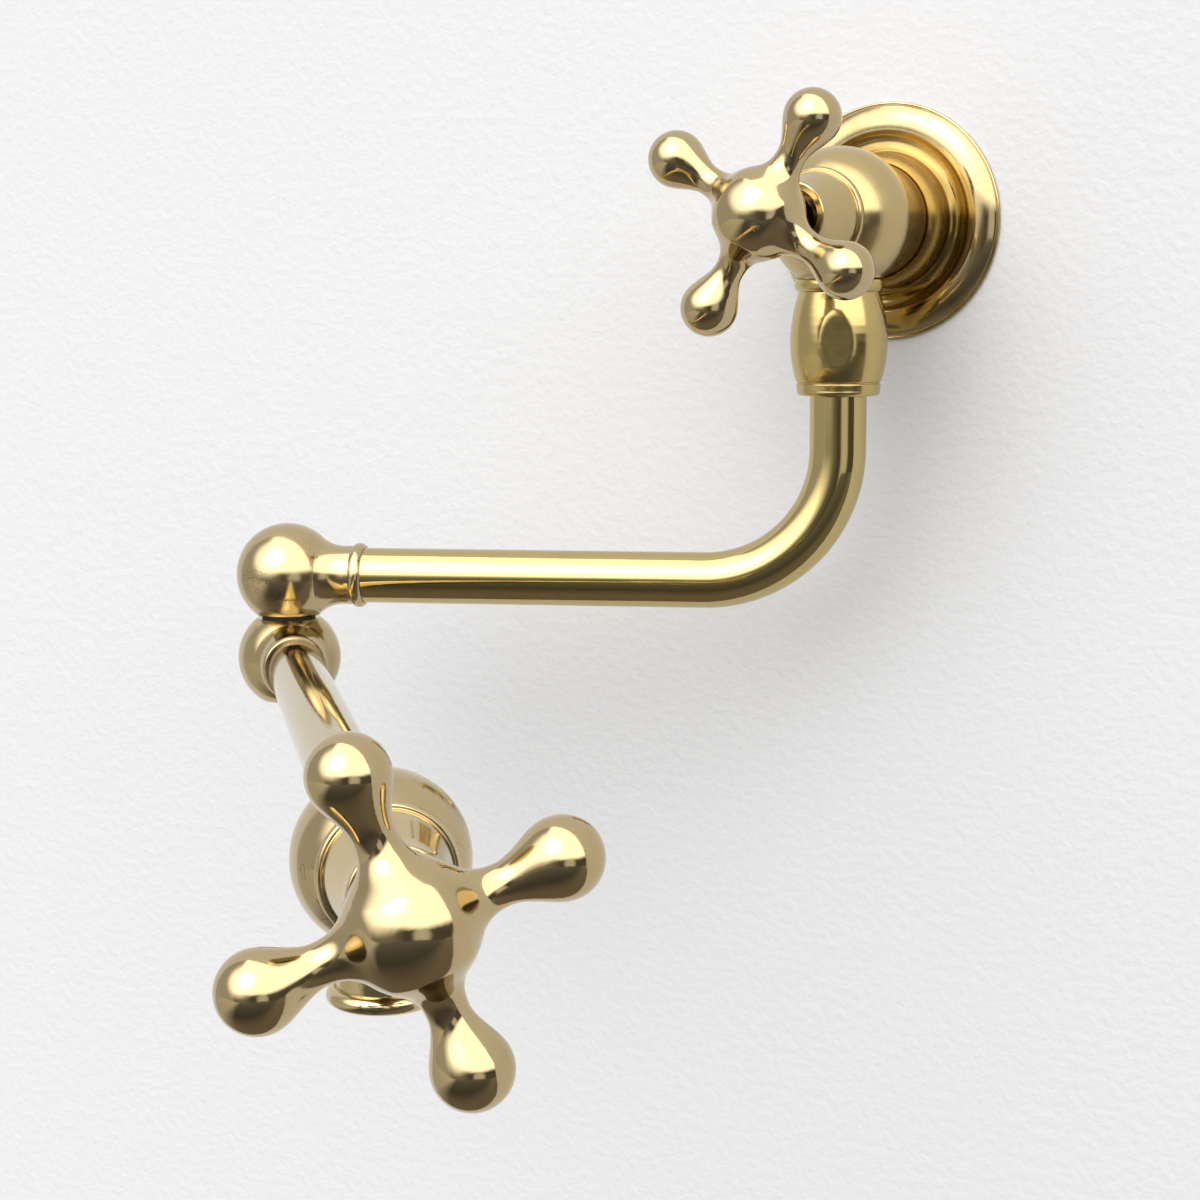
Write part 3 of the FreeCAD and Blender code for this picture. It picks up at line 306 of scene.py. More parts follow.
def scratches(tree, place):
    """Thin wandering scratches, in a few places only."""
    wander = noise(tree, place, 150.0, 2.0)
    off_line = math_node(tree, "ABSOLUTE", math_node(tree, "SUBTRACT", wander, 0.5))
    sparse = noise(tree, place, 62.0, 1.0)
    return math_node(tree, "MULTIPLY", spread(tree, off_line, 0.0, 0.009, 1.0, 0.0),
                     spread(tree, sparse, 0.56, 0.64, 0.0, 0.8))


def rings(tree, along):
    """Fine rings that change with one coordinate only."""
    return add(tree, "ShaderNodeTexNoise", {"noise_dimensions": "1D"}, W=along, Scale=2600.0, Detail=4.0,
               Roughness=0.7).outputs[0]


def body_lines(tree):
    """Lathe rings on the wall valve's body, a CAD piece that has no record of its profile."""
    height, radius = axis_coordinates(tree, WALL_VALVE)
    return rings(tree, math_node(tree, "ADD", height, math_node(tree, "MULTIPLY", radius, 0.6)))


def profile_lines(tree):
    """Lathe rings that follow the distance along a turned piece's own profile."""
    return rings(tree, add(tree, "ShaderNodeAttribute", {"attribute_name": "along"}).outputs["Fac"])


def draw_lines(tree):
    """Lines that a die leaves along a drawn tube: quick across it and slow along it."""
    skin = add(tree, "ShaderNodeAttribute", {"attribute_name": "skin"}).outputs["Vector"]
    return noise(tree, skin, 26.0, 5.0, 0.7)


def ragged_painted_shade(tree, distance, patches, bite, full, gone):
    """A mask of painted shade, full near the wall valve's root and gone further out, with a ragged edge."""
    ragged = math_node(tree, "ADD", distance, math_node(tree, "MULTIPLY", patches, -bite))
    return spread(tree, ragged, full, gone, 1.0, 0.0)


# Painted shade: darker amber on the flange's dish round the collar, where shade falls.
def dish_painted_shade(tree, patches):
    _, radius = axis_coordinates(tree, WALL)
    return ragged_painted_shade(tree, radius, patches, 0.006, 0.0185, 0.0225)


# Painted shade: darker amber on the wall valve's neck behind its ball, where shade falls.
def neck_painted_shade(tree, patches):
    height, _ = axis_coordinates(tree, WALL)
    return ragged_painted_shade(tree, height, patches, 0.004, 0.0135, 0.0195)


print("patterns ready")

# %% [markdown]
# ## Brass
# All the brass is one alloy, so one function mixes it: the colour and its ageing, painted shade in recesses,
# the polish with a fine haze in it, slow waves where a casting was polished by hand, and the tool's pattern
# as a height. Rings from a lathe also stretch a highlight across themselves, which is what the Anisotropic
# input gives.

# %% The brass function
SCRATCHED = (0.13, 0.09, 0.03)
SHEEN = 0.8
SHEEN_TURN = 0.25


def brass(name, colour, aged_and_shade_colour, polish, ageing=(0.5, 0.78), ripple=0.0, lines=None, depth=0.0, painted_shade=None,
          worn=False, turned=False):
    """Polished brass. colour turns in patches to the second colour, which also colours the painted shade;
    polish is the lowest and highest roughness, ripple the height of slow waves in metres, lines(tree) a tool
    pattern that is depth metres deep, and the shade mask, a function of (tree, patches), marks painted shade
    in a recess, taken fully to the second colour. A worn piece carries dark scratches and a turned one a
    sheen."""
    material, tree, shader = plain(name, colour, polish[0])
    shader.inputs["Metallic"].default_value = 1.0
    place = object_place(tree)
    patches = noise(tree, place, 75.0, 5.0, 0.62)
    haze = noise(tree, place, 430.0, 6.0, 0.65)
    age_and_painted_shade = spread(tree, patches, *ageing, 0.0, 1.0)
    # Painted shade: the mask takes the colour fully to the second colour in a recess.
    if painted_shade:
        age_and_painted_shade = math_node(tree, "MAXIMUM", age_and_painted_shade, painted_shade(tree, patches))
    skin = blend_colours(tree, age_and_painted_shade, colour, aged_and_shade_colour)
    if worn:
        skin = blend_colours(tree, scratches(tree, place), skin, SCRATCHED)
    tree.links.new(skin, shader.inputs["Base Color"])
    rough = spread(tree, haze, 0.35, 0.7, *polish)
    normal = None
    if ripple:
        waves = noise(tree, place, 90.0, 1.5, 0.4)
        normal = add(tree, "ShaderNodeBump", Height=waves, Distance=ripple).outputs[0]
    if lines:
        pattern = lines(tree)
        bump = add(tree, "ShaderNodeBump", Height=pattern, Distance=depth)
        if normal:
            tree.links.new(normal, bump.inputs["Normal"])
        normal = bump.outputs[0]
        rough = math_node(tree, "ADD", rough, spread(tree, pattern, 0.3, 0.7, -0.03, 0.05))
    tree.links.new(rough, shader.inputs["Roughness"])
    if normal:
        tree.links.new(normal, shader.inputs["Normal"])
    if turned:
        shader.inputs["Anisotropic"].default_value = SHEEN
        shader.inputs["Anisotropic Rotation"].default_value = SHEEN_TURN
        tangent = add(tree, "ShaderNodeTangent", {"direction_type": "RADIAL", "axis": "Y"}).outputs[0]
        tree.links.new(tangent, shader.inputs["Tangent"])
    return material


print("brass function ready")

# %% [markdown]
# ## Brass finishes
# The handles and the ball elbows are castings, and their reflections wander a little. The wall valve's
# body, bonnet and nut are satin from the lathe, the flange is spun and shinier, and the tubes are the
# brightest. The collar sits low in the dish, and its colour is a dark amber all over: painted shade.

# %% Brass finishes
CAST = (0.485, 0.38, 0.205)
CAST_AGED = (0.44, 0.34, 0.172)
TURNED = (0.495, 0.38, 0.18)
AGED = (0.415, 0.305, 0.145)
SATIN_AGEING = (0.55, 0.95)

cast_brass = brass("cast_brass", CAST, CAST_AGED, (0.06, 0.13), ripple=9e-5)
worn_brass = brass("cast_brass_worn", CAST, CAST_AGED, (0.12, 0.19), ripple=6e-5, worn=True)
# Its second colour is mostly painted shade, darker amber on the neck behind the ball.
wall_body_brass = brass("turned_brass_wall_body", TURNED, (0.28, 0.165, 0.035), (0.15, 0.2),
                        ageing=(0.62, 1.3), lines=body_lines, depth=2.5e-6, painted_shade=neck_painted_shade, turned=True)
turned_brass = brass("turned_brass_satin", TURNED, AGED, (0.15, 0.21), ageing=SATIN_AGEING,
                     lines=profile_lines, depth=2.5e-6, turned=True)
fine_turned_brass = brass("turned_brass_fine", (0.56, 0.45, 0.245), AGED, (0.09, 0.14), ageing=SATIN_AGEING,
                          lines=profile_lines, depth=1.5e-6, worn=True)
nut_brass = brass("turned_brass_nut", (0.49, 0.375, 0.15), AGED, (0.15, 0.2), ageing=SATIN_AGEING,
                  lines=profile_lines, depth=1.5e-6)
# Painted shade: a dark amber all over, for the shade in the flange's dish.
collar_brass_painted_shade = brass("turned_brass_collar_painted_shade", (0.31, 0.19, 0.05), (0.26, 0.155, 0.035), (0.22, 0.28),
                     lines=profile_lines, depth=2e-6, turned=True)
# Its second colour is both tarnish patches and painted shade, darker amber in the dish.
spun_brass = brass("spun_brass", (0.50, 0.39, 0.20), (0.28, 0.185, 0.055), (0.07, 0.13), ripple=8e-5,
                   lines=profile_lines, depth=2e-6, painted_shade=dish_painted_shade)
drawn_brass = brass("drawn_brass", (0.495, 0.39, 0.168), AGED, (0.03, 0.07), ageing=(0.6, 0.85),
                    lines=draw_lines, depth=4e-6)
print(sum("brass" in material.name for material in bpy.data.materials), "brass finishes")

# %% [markdown]
# ## Seals, discs and screws
# Inside the brass are black rubber rings, black plastic washers, a white plastic flow straightener, pale
# ceramic discs and small steel screws. They are seldom seen, yet each has its own grain: rubber is dull with
# a dusty bloom, plastic is faintly mottled, ceramic is dense and smooth, and steel shows its machining.

# %% Materials of the inner pieces
def grained(name, colour, other, roughness, scale, height, metallic=0.0):
    material, tree, shader = plain(name, colour, roughness)
    shader.inputs["Metallic"].default_value = metallic
    grain = noise(tree, object_place(tree), scale, 5.0, 0.6)
    rough = spread(tree, grain, 0.3, 0.7, roughness * 0.8, roughness * 1.2)
    bump = add(tree, "ShaderNodeBump", Height=grain, Distance=height).outputs[0]
    tree.links.new(blend_colours(tree, grain, colour, other), shader.inputs["Base Color"])
    tree.links.new(rough, shader.inputs["Roughness"])
    tree.links.new(bump, shader.inputs["Normal"])
    return material


rubber = grained("black_rubber", (0.018, 0.018, 0.018), (0.04, 0.04, 0.038), 0.6, 1500.0, 8e-6)
plastic = grained("white_plastic", (0.78, 0.77, 0.74), (0.70, 0.69, 0.66), 0.42, 700.0, 6e-6)
black_plastic = grained("black_plastic", (0.012, 0.012, 0.012), (0.02, 0.02, 0.019), 0.65, 700.0, 6e-6)
ceramic = grained("pale_ceramic", (0.80, 0.79, 0.75), (0.74, 0.72, 0.68), 0.22, 2200.0, 1e-6)
steel = grained("machined_steel", (0.55, 0.55, 0.54), (0.46, 0.46, 0.46), 0.3, 1200.0, 3e-6, metallic=1.0)
print("inner materials ready")

# %% [markdown]
# ## CAD pieces that keep their shape
# A CAD piece whose shape is right keeps its mesh and takes the finish of its making: the ball bodies, and all
# that is hidden inside them.

# %% Finishes on the CAD nodes
def dress(material, *names):
    for name in names:
        mesh = nodes[name].data
        mesh.materials.clear()
        mesh.materials.append(material)


finish_of_slot = {"rubber": rubber, "ceramic": ceramic, "white_plastic": plastic, "steel": steel,
                  "black_plastic": black_plastic, "brass_cast": cast_brass}
for part in frame["record"]["subparts"]:
    dress(finish_of_slot.get(part["material_slot"], wall_body_brass), part["node"])
dress(worn_brass, "end_valve_body", "upper_elbow", "lower_elbow", "elbow_cap")
print("dressed", len(nodes), "CAD nodes")

# %% [markdown]
# ## A lathe in Geometry Nodes
# A turned piece is a profile swept round an axis, which is a rule, so a node tree makes it. The profile's
# points come in as a mesh. A grid has one column for each side of the turning and one row for each point, and
# every grid point is set to its profile point, turned by its column's angle. The tree also stores the
# distance along the profile, which the lathe rings follow.

# %% The turning tree
def group_input(tree, name, kind):
    return tree.interface.new_socket(name, in_out="INPUT", socket_type=kind).identifier


turning = bpy.data.node_groups.new("turning", "GeometryNodeTree")
group_input(turning, "Profile", "NodeSocketGeometry")
TURNING_SIDES = group_input(turning, "Sides", "NodeSocketInt")
TURNING_FINISH = group_input(turning, "Finish", "NodeSocketMaterial")
turning.interface.new_socket("Turned", in_out="OUTPUT", socket_type="NodeSocketGeometry")
given = add(turning, "NodeGroupInput").outputs
rows = add(turning, "GeometryNodeAttributeDomainSize", Geometry=given["Profile"]).outputs["Point Count"]
columns = add(turning, "FunctionNodeIntegerMath", {"operation": "ADD"}, _0=given["Sides"], _1=1).outputs[0]
grid = add(turning, "GeometryNodeMeshGrid", Vertices_X=columns, Vertices_Y=rows).outputs["Mesh"]
index = add(turning, "GeometryNodeInputIndex").outputs[0]
column = add(turning, "FunctionNodeIntegerMath", {"operation": "DIVIDE_FLOOR"}, _0=index, _1=rows).outputs[0]
row = add(turning, "FunctionNodeIntegerMath", {"operation": "MODULO"}, _0=index, _1=rows).outputs[0]


def from_profile(kind, value):
    """A value of the profile point that belongs to each grid point's row."""
    return add(turning, "GeometryNodeSampleIndex", {"data_type": kind}, Geometry=given["Profile"],
               Value=value, Index=row).outputs[0]


corner = from_profile("FLOAT_VECTOR", add(turning, "GeometryNodeInputPosition").outputs[0])
corner = add(turning, "ShaderNodeSeparateXYZ", Vector=corner).outputs
share = math_node(turning, "DIVIDE", column, given["Sides"])
angle = math_node(turning, "MULTIPLY", share, 2 * math.pi)
ring_x = math_node(turning, "MULTIPLY", corner["X"], math_node(turning, "COSINE", angle))
ring_y = math_node(turning, "MULTIPLY", corner["X"], math_node(turning, "SINE", angle))
ring_place = add(turning, "ShaderNodeCombineXYZ", X=ring_x, Y=ring_y, Z=corner["Z"]).outputs[0]
along = add(turning, "GeometryNodeInputNamedAttribute", {"data_type": "FLOAT"}, Name="along").outputs[0]
body = add(turning, "GeometryNodeStoreNamedAttribute", {"data_type": "FLOAT", "domain": "POINT"},
           Geometry=grid, Name="along", Value=from_profile("FLOAT", along)).outputs[0]
body = add(turning, "GeometryNodeSetPosition", Geometry=body, Position=ring_place).outputs[0]
body = add(turning, "GeometryNodeMergeByDistance", Geometry=body, Distance=1e-6).outputs[0]
body = add(turning, "GeometryNodeRealizeInstances", Geometry=body).outputs[0]
body = add(turning, "GeometryNodeSetMaterial", Geometry=body, Material=given["Finish"]).outputs[0]
add(turning, "NodeGroupOutput", Turned=body)
print("turning tree has", len(turning.nodes), "nodes")

# %% [markdown]
# ## Profiles with softened corners
# A real turned edge is never perfectly sharp: the tool and the buffing wheel leave a radius of a few tenths
# of a millimetre, and that radius catches a thin line of light. The profile helper takes straight steps and
# arcs, as a turner would read them from a drawing, and rounds each corner before the piece is turned.

# %% Profile helper
ARC_STEP = math.radians(3)
SLIGHT_CORNER = math.radians(20)
CORNER_SHARE = 0.4


def arc_points(start, middle, end):
    """Points of the arc from start through middle to end, without its start."""
    (ax, ay), (bx, by), (cx, cy) = start, middle, end
    d = 2 * (ax * (by - cy) + bx * (cy - ay) + cx * (ay - by))
    ux = ((ax**2 + ay**2) * (by - cy) + (bx**2 + by**2) * (cy - ay) + (cx**2 + cy**2) * (ay - by)) / d
    uy = ((ax**2 + ay**2) * (cx - bx) + (bx**2 + by**2) * (ax - cx) + (cx**2 + cy**2) * (bx - ax)) / d
    a0, a1, a2 = (math.atan2(y - uy, x - ux) for x, y in (start, middle, end))
    sweep = (a2 - a0) % (2 * math.pi)
    if (a1 - a0) % (2 * math.pi) > sweep:
        sweep -= 2 * math.pi
    count = max(6, int(abs(sweep) / ARC_STEP))
    reach = math.hypot(ax - ux, ay - uy)
    turns = [a0 + sweep * i / count for i in range(1, count + 1)]
    return [(ux + reach * math.cos(turn), uy + reach * math.sin(turn)) for turn in turns]


def profile_points(steps, soft, finest):
    """A closed profile in millimetres. A step is (radius, height), or (radius, height, middle radius, middle
    height) for an arc to it. Corners are rounded by up to soft millimetres, and no two points lie further
    apart than finest."""
    outline = []
    for index, step in enumerate(steps):
        start = steps[index - 1][:2]
        outline += arc_points(start, step[2:], step[:2]) if len(step) == 4 else [tuple(step[:2])]
    outline = [Vector(point) for point in outline]
    rounded = []
    for index, point in enumerate(outline):
        before = outline[index - 1] - point
        after = outline[(index + 1) % len(outline)] - point
        if math.pi - before.angle(after) < SLIGHT_CORNER:
            rounded.append(point)
            continue
        first = point + before.normalized() * min(soft, CORNER_SHARE * before.length)
        last = point + after.normalized() * min(soft, CORNER_SHARE * after.length)
        for t in (0.0, 0.25, 0.5, 0.75, 1.0):
            rounded.append(first * (1 - t) ** 2 + point * 2 * t * (1 - t) + last * t**2)
    closed = []
    for point, following in zip(rounded, rounded[1:] + rounded[:1]):
        count = max(1, math.ceil((following - point).length / finest))
        closed += [point.lerp(following, i / count) for i in range(count)]
    return closed + rounded[:1]


print("profile helper ready")

# %% [markdown]
# ## From a tree to a finished piece
# The export takes plain meshes, so a tree's result is baked. The piece's place then goes into its mesh, and
# it takes over from the CAD node that it dresses and rides on that node's body.

# %% Finishing helpers
def baked(obj, name):
    """The evaluated object as a plain mesh of its own, and the source object removed."""
    bpy.context.view_layer.update()
    mesh = bpy.data.meshes.new_from_object(obj.evaluated_get(bpy.context.evaluated_depsgraph_get()))
    bpy.data.objects.remove(obj)
    mesh.name = name
    return mesh


def placed(name, mesh, matrix, sharp=30):
    """A finished piece: its place in its mesh, faces outwards and edges sharp past an angle."""
    mesh.transform(matrix)
    work = bmesh.new()
    work.from_mesh(mesh)
    bmesh.ops.recalc_face_normals(work, faces=work.faces)
    work.to_mesh(mesh)
    work.free()
    mesh.shade_smooth()
    mesh.set_sharp_from_angle(angle=math.radians(sharp))
    return new_object(name, mesh)


def stands_for(obj, node):
    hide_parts(node)
    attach(obj, nodes[node]["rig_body"])
    print(f"{obj.name}: {len(obj.data.polygons)} faces for {node}")


def turned_mesh(name, steps, finish, soft=0.25, sides=180, finest=4.0):
    points = profile_points(steps, soft, finest)
    mesh = bpy.data.meshes.new(name + "_profile")
    mesh.from_pydata([(p.x * MM, 0, p.y * MM) for p in points], [], [])
    travelled = np.cumsum([0] + [(b - a).length * MM for a, b in zip(points, points[1:])])
    mesh.attributes.new("along", "FLOAT", "POINT").data.foreach_set("value", travelled.astype(np.float32))
    blank = new_object(name, mesh)
    lathe = blank.modifiers.new("lathe", "NODES")
    lathe.node_group = turning
    lathe[TURNING_SIDES] = sides
    lathe[TURNING_FINISH] = finish
    return baked(blank, name)


def points_of(mesh):
    flat_list = np.zeros(len(mesh.vertices) * 3, np.float32)
    mesh.vertices.foreach_get("co", flat_list)
    return flat_list.reshape(-1, 3)


def move_points(mesh, points):
    mesh.vertices.foreach_set("co", points.astype(np.float32).ravel())


print("finishing helpers ready")

# %% [markdown]
# ## Wall flange and collar
# The flange is spun from sheet: a thin rim, a convex band, a crest and a shallow dish that the collar sits
# in. The collar hides the joint between the flange and the valve's neck. Heights count from the wall.

# %% Turn the flange and its collar
flange_steps = [
    (17.2, 1.2), (30.2, 1.2), (30.2, 0), (34.2, 0), (34.2, 0.75), (33.55, 1.1, 34.05, 1.02), (33.4, 1.0),
    (33.2, 1.35), (26.4, 3.6, 30.39, 3.08), (25.6, 3.45, 26.0, 3.58), (20.2, 3.3, 22.9, 2.4), (17.2, 3.3),
]
flange = placed("flange", turned_mesh("flange", flange_steps, spun_brass, soft=0.35, sides=240), WALL)
stands_for(flange, "escutcheon")
collar_steps = [(16.43, 3.3), (19.4, 3.3), (19.4, 5.9), (16.93, 11.8, 18.81, 9.74), (16.43, 11.8)]
collar = placed("collar", turned_mesh("collar", collar_steps, collar_brass_painted_shade, soft=0.5, sides=200), WALL)
stands_for(collar, "flange_collar")

# %% [markdown]
# ## Bonnets
# Each bonnet is a short cone with a bead at its foot, a groove above the bead and a recessed hole for the
# handle's boss. Both valves use the same bonnet, read from its seat on the ball outwards.

# %% Turn the two bonnets
WALL_SEAT = WALL_VALVE @ shift(0, 0, 14.756)
END_SEAT = END_VALVE @ shift(0, 0, 11.136)
bonnet_steps = [
    (10.8, 0), (13.1, 0), (13.1, 2.4, 13.7, 1.2), (12.5, 2.4), (12.5, 3.0), (9.194, 17.0),
    (8.594, 17.6, 9.054, 17.44), (7.294, 17.6), (6.794, 16.9), (6.794, 12.0), (5.63, 12.0), (5.63, 8.5),
    (10.8, 5.6),
]
for name, node, matrix, finish in (("bonnet_wall", "wall_bonnet", WALL_SEAT, turned_brass),
                                   ("bonnet_end", "end_bonnet", END_SEAT, fine_turned_brass)):
    stands_for(placed(name, turned_mesh(name, bonnet_steps, finish), matrix), node)

# %% [markdown]
# ## Swivel nut
# The barrel-shaped nut is turned first and then two spanner flats are milled on it and buffed. Every point
# that stands outside a flat is brought back onto it through a soft minimum, which leaves the buffed, rounded
# edge. Heights count down from the wall valve's ball.

# %% Turn the nut and mill its flats
BARREL_MIDDLE = -33.916
FLAT_OFF_AXIS = 12.83
FLAT_HALF_LENGTH = 8.2
CUTTER_RUN_OUT = 0.55
BUFFED_EDGE = 0.25
BARREL_INSIDE = 10.5
FLAT_SIDE = 9.0


def soft_min(first, second, blend):
    h = np.clip(0.5 + 0.5 * (second - first) / blend, 0, 1)
    return second * (1 - h) + first * h - blend * h * (1 - h)


nut_steps = [
    (9.63, -16.638), (11.93, -16.638), (11.33, -20.288, 12.53, -18.244),
    (13.68, BARREL_MIDDLE, 13.163, -27.783), (11.98, -45.138, 13.18, -40.088), (11.58, -45.338),
    (11.58, -45.638), (11.88, -45.838), (11.7, -47.638), (10.5, -49.138, 11.4, -48.738), (9.32, -49.238),
    (8.12, -49.238), (8.12, -34.588), (9.63, -34.588),
]
nut_mesh = turned_mesh("nut", nut_steps, nut_brass, sides=320, finest=0.4)
shape = points_of(nut_mesh) / MM
past_flat = np.clip(np.abs(shape[:, 2] - BARREL_MIDDLE) - FLAT_HALF_LENGTH, 0, None)
flat = FLAT_OFF_AXIS + CUTTER_RUN_OUT * past_flat**2
across = np.abs(shape[:, 1])
outside = np.hypot(shape[:, 0], shape[:, 1]) > BARREL_INSIDE
pressed = np.sign(shape[:, 1]) * soft_min(across, flat, BUFFED_EDGE)
shape[:, 1] = np.where(outside & (across > FLAT_SIDE), pressed, shape[:, 1])
move_points(nut_mesh, shape * MM)
stands_for(placed("nut", nut_mesh, SWIVEL), "swivel_nut")

# %% [markdown]
# ## Outlet
# The outlet is a short turned nozzle with a rolled lip. It is hollow, so the flow straightener shows from
# below. Heights count down from the end valve's ball.

# %% Turn the outlet nozzle
nozzle_steps = [
    (6.0, -12.2), (7.6, -12.2), (7.6, -18.72), (9.0, -18.72), (9.0, -24.8), (10.5, -27.7, 11.0, -26.296),
    (9.8, -28.2), (6.8, -28.2), (6.8, -22.6), (6.0, -22.6),
]
nozzle = placed("nozzle", turned_mesh("nozzle", nozzle_steps, fine_turned_brass), OUTLET)
stands_for(nozzle, "outlet_nozzle")

# %% [markdown]
# ## Tubes
# Both arms are drawn tube. A tree fillets the path's corner by the bend's radius, sweeps a circle along it
# and stores where each point lies round the tube and along it, so the draw lines follow the bend. Solidify
# then gives the skin its wall.

# %% The drawn tube tree
TUBE_SIDES = 128
BEND_STEPS = 48
SLOW_ALONG = 1.6

drawing = bpy.data.node_groups.new("drawing", "GeometryNodeTree")
group_input(drawing, "Path", "NodeSocketGeometry")
DRAWING_BEND = group_input(drawing, "Bend radius", "NodeSocketFloat")
DRAWING_RADIUS = group_input(drawing, "Tube radius", "NodeSocketFloat")
DRAWING_FINISH = group_input(drawing, "Finish", "NodeSocketMaterial")
drawing.interface.new_socket("Tube", in_out="OUTPUT", socket_type="NodeSocketGeometry")
given = add(drawing, "NodeGroupInput").outputs


def captured(geometry, kind, name, value):
    """A value kept on a curve's points, so that it can still be read on the mesh swept from the curve."""
    capture = drawing.nodes.new("GeometryNodeCaptureAttribute")
    capture.capture_items.new(kind, name)
    drawing.links.new(geometry, capture.inputs[0])
    drawing.links.new(value, capture.inputs[1])
    return capture.outputs[0], capture.outputs[1]


path = add(drawing, "GeometryNodeMeshToCurve", Mesh=given["Path"]).outputs[0]
path = add(drawing, "GeometryNodeFilletCurve", {"mode": "POLY"}, Curve=path, Count=BEND_STEPS,
           Radius=given["Bend radius"], Limit_Radius=True).outputs[0]
path, run = captured(path, "FLOAT", "run", add(drawing, "GeometryNodeSplineParameter").outputs["Length"])
circle = add(drawing, "GeometryNodeCurvePrimitiveCircle", Resolution=TUBE_SIDES,
             Radius=given["Tube radius"]).outputs[0]
circle, about = captured(circle, "VECTOR", "round", add(drawing, "GeometryNodeInputPosition").outputs[0])
skin = add(drawing, "GeometryNodeCurveToMesh", Curve=path, Profile_Curve=circle).outputs[0]
unit = add(drawing, "ShaderNodeVectorMath", {"operation": "NORMALIZE"}, _0=about).outputs[0]
unit = add(drawing, "ShaderNodeSeparateXYZ", Vector=unit).outputs
slow = math_node(drawing, "MULTIPLY", run, SLOW_ALONG)
where = add(drawing, "ShaderNodeCombineXYZ", X=unit["X"], Y=unit["Y"], Z=slow).outputs[0]
skin = add(drawing, "GeometryNodeStoreNamedAttribute", {"data_type": "FLOAT_VECTOR", "domain": "POINT"},
           Geometry=skin, Name="skin", Value=where).outputs[0]
skin = add(drawing, "GeometryNodeRealizeInstances", Geometry=skin).outputs[0]
skin = add(drawing, "GeometryNodeSetMaterial", Geometry=skin, Material=given["Finish"]).outputs[0]
add(drawing, "NodeGroupOutput", Tube=skin)
print("drawing tree has", len(drawing.nodes), "nodes")

# %% [markdown]
# The inner arm drops from the swivel nut and turns through one bend to the upper elbow. The outer arm is
# straight, from the lower elbow's socket to the end valve's.

# %% Draw the two tubes
TUBE_RADIUS = 8.0
TUBE_WALL = 1.5
BEND_RADIUS = 37.5
INNER_TOP = -31.038
UPPER_SOCKET = 18.05
END_SOCKET = 19.75


def drawn_skin(name, corners, bend):
    """The tube's outer skin along a path of corners, with its faces outwards."""
    mesh = bpy.data.meshes.new(name + "_path")
    edges = [(i, i + 1) for i in range(len(corners) - 1)]
    mesh.from_pydata([Vector(corner) * MM for corner in corners], edges, [])
    blank = new_object(name, mesh)
    die = blank.modifiers.new("die", "NODES")
    die.node_group = drawing
    die[DRAWING_BEND] = bend * MM
    die[DRAWING_RADIUS] = TUBE_RADIUS * MM
    die[DRAWING_FINISH] = drawn_brass
    mesh = baked(blank, name)
    work = bmesh.new()
    work.from_mesh(mesh)
    bmesh.ops.recalc_face_normals(work, faces=work.faces)
    end_ring = list(work.verts)[:TUBE_SIDES]
    centre = sum((v.co for v in end_ring), Vector()) / TUBE_SIDES
    if end_ring[0].normal.dot(end_ring[0].co - centre) < 0:
        bmesh.ops.reverse_faces(work, faces=work.faces)
    work.to_mesh(mesh)
    work.free()
    return mesh


def walled_tube(name, corners, bend, matrix):
    skin = new_object(name, drawn_skin(name, corners, bend))
    wall = skin.modifiers.new("wall", "SOLIDIFY")
    wall.thickness = TUBE_WALL * MM
    wall.offset = -1
    return placed(name, baked(skin, name), matrix)


inner_path = [(0, 0, INNER_TOP), (0, 0, -INNER_DROP), (UPPER_SOCKET - INNER_REACH, 0, -INNER_DROP)]
inner_tube = walled_tube("inner_tube", inner_path, BEND_RADIUS, SWIVEL)
stands_for(inner_tube, "inner_arm_tube")
outer_path = [(0, 0, UPPER_SOCKET), (0, 0, OUTER_REACH - END_SOCKET)]
outer_tube = walled_tube("outer_tube", outer_path, 0, LOWER_NECK)
stands_for(outer_tube, "outer_arm_tube")

# %% [markdown]
# ## Cross handles
# Each handle is one casting: four arms with ball ends that flow into a domed hub and a boss. A distance field
# describes that flow well. Each form is a distance, and a soft minimum joins them with a fillet, as a pattern
# maker would with wax. Lengths are in millimetres about the hub.

# %% The handle's distance field
REACH = 28.3
TIP = 7.6
WAIST = 3.9
WAIST_AT = 17.0
FLARE = WAIST_AT - WAIST
HUB_EDGE = WAIST_AT - FLARE * math.sqrt(0.5)
HUB_CORE = 5.2
TANGENT = math.radians(75)
BALL_AT = REACH - TIP * math.cos(TANGENT)
HUB_RADIUS = 10.6
HUB_RISE = 2.0
BOSS_RADIUS = 5.294
BOSS_FLARE = 3.4
BOSS_FLARE_FROM = -15.5
BOSS_FLARE_LENGTH = 9.3
BOSS_END = -24.3
BOSS_TOP = 1.0
ARM_FILLET = 2.4
HUB_FILLET = 5.0
BOSS_FILLET = 3.0
PROBE = 0.01


def arm_radius(s):
    flare = WAIST_AT - np.sqrt(FLARE**2 - (WAIST_AT - np.clip(s, HUB_EDGE, WAIST_AT)) ** 2)
    run = HUB_EDGE - HUB_CORE
    core = run / 2 * (1 - ((np.clip(s, HUB_CORE, HUB_EDGE) - HUB_CORE) / run) ** 2)
    t = np.clip((s - WAIST_AT) / (BALL_AT - WAIST_AT), 0, 1)
    rise = (TIP * math.sin(TANGENT) - WAIST) * t**2 * (3 - 2 * t)
    neck = WAIST + rise + (BALL_AT - WAIST_AT) / math.tan(TANGENT) * t**2 * (t - 1)
    return np.where(s < WAIST_AT, flare + core, neck)


def boss_radius(z):
    return BOSS_RADIUS + BOSS_FLARE * np.clip((z - BOSS_FLARE_FROM) / BOSS_FLARE_LENGTH, 0, 1) ** 2


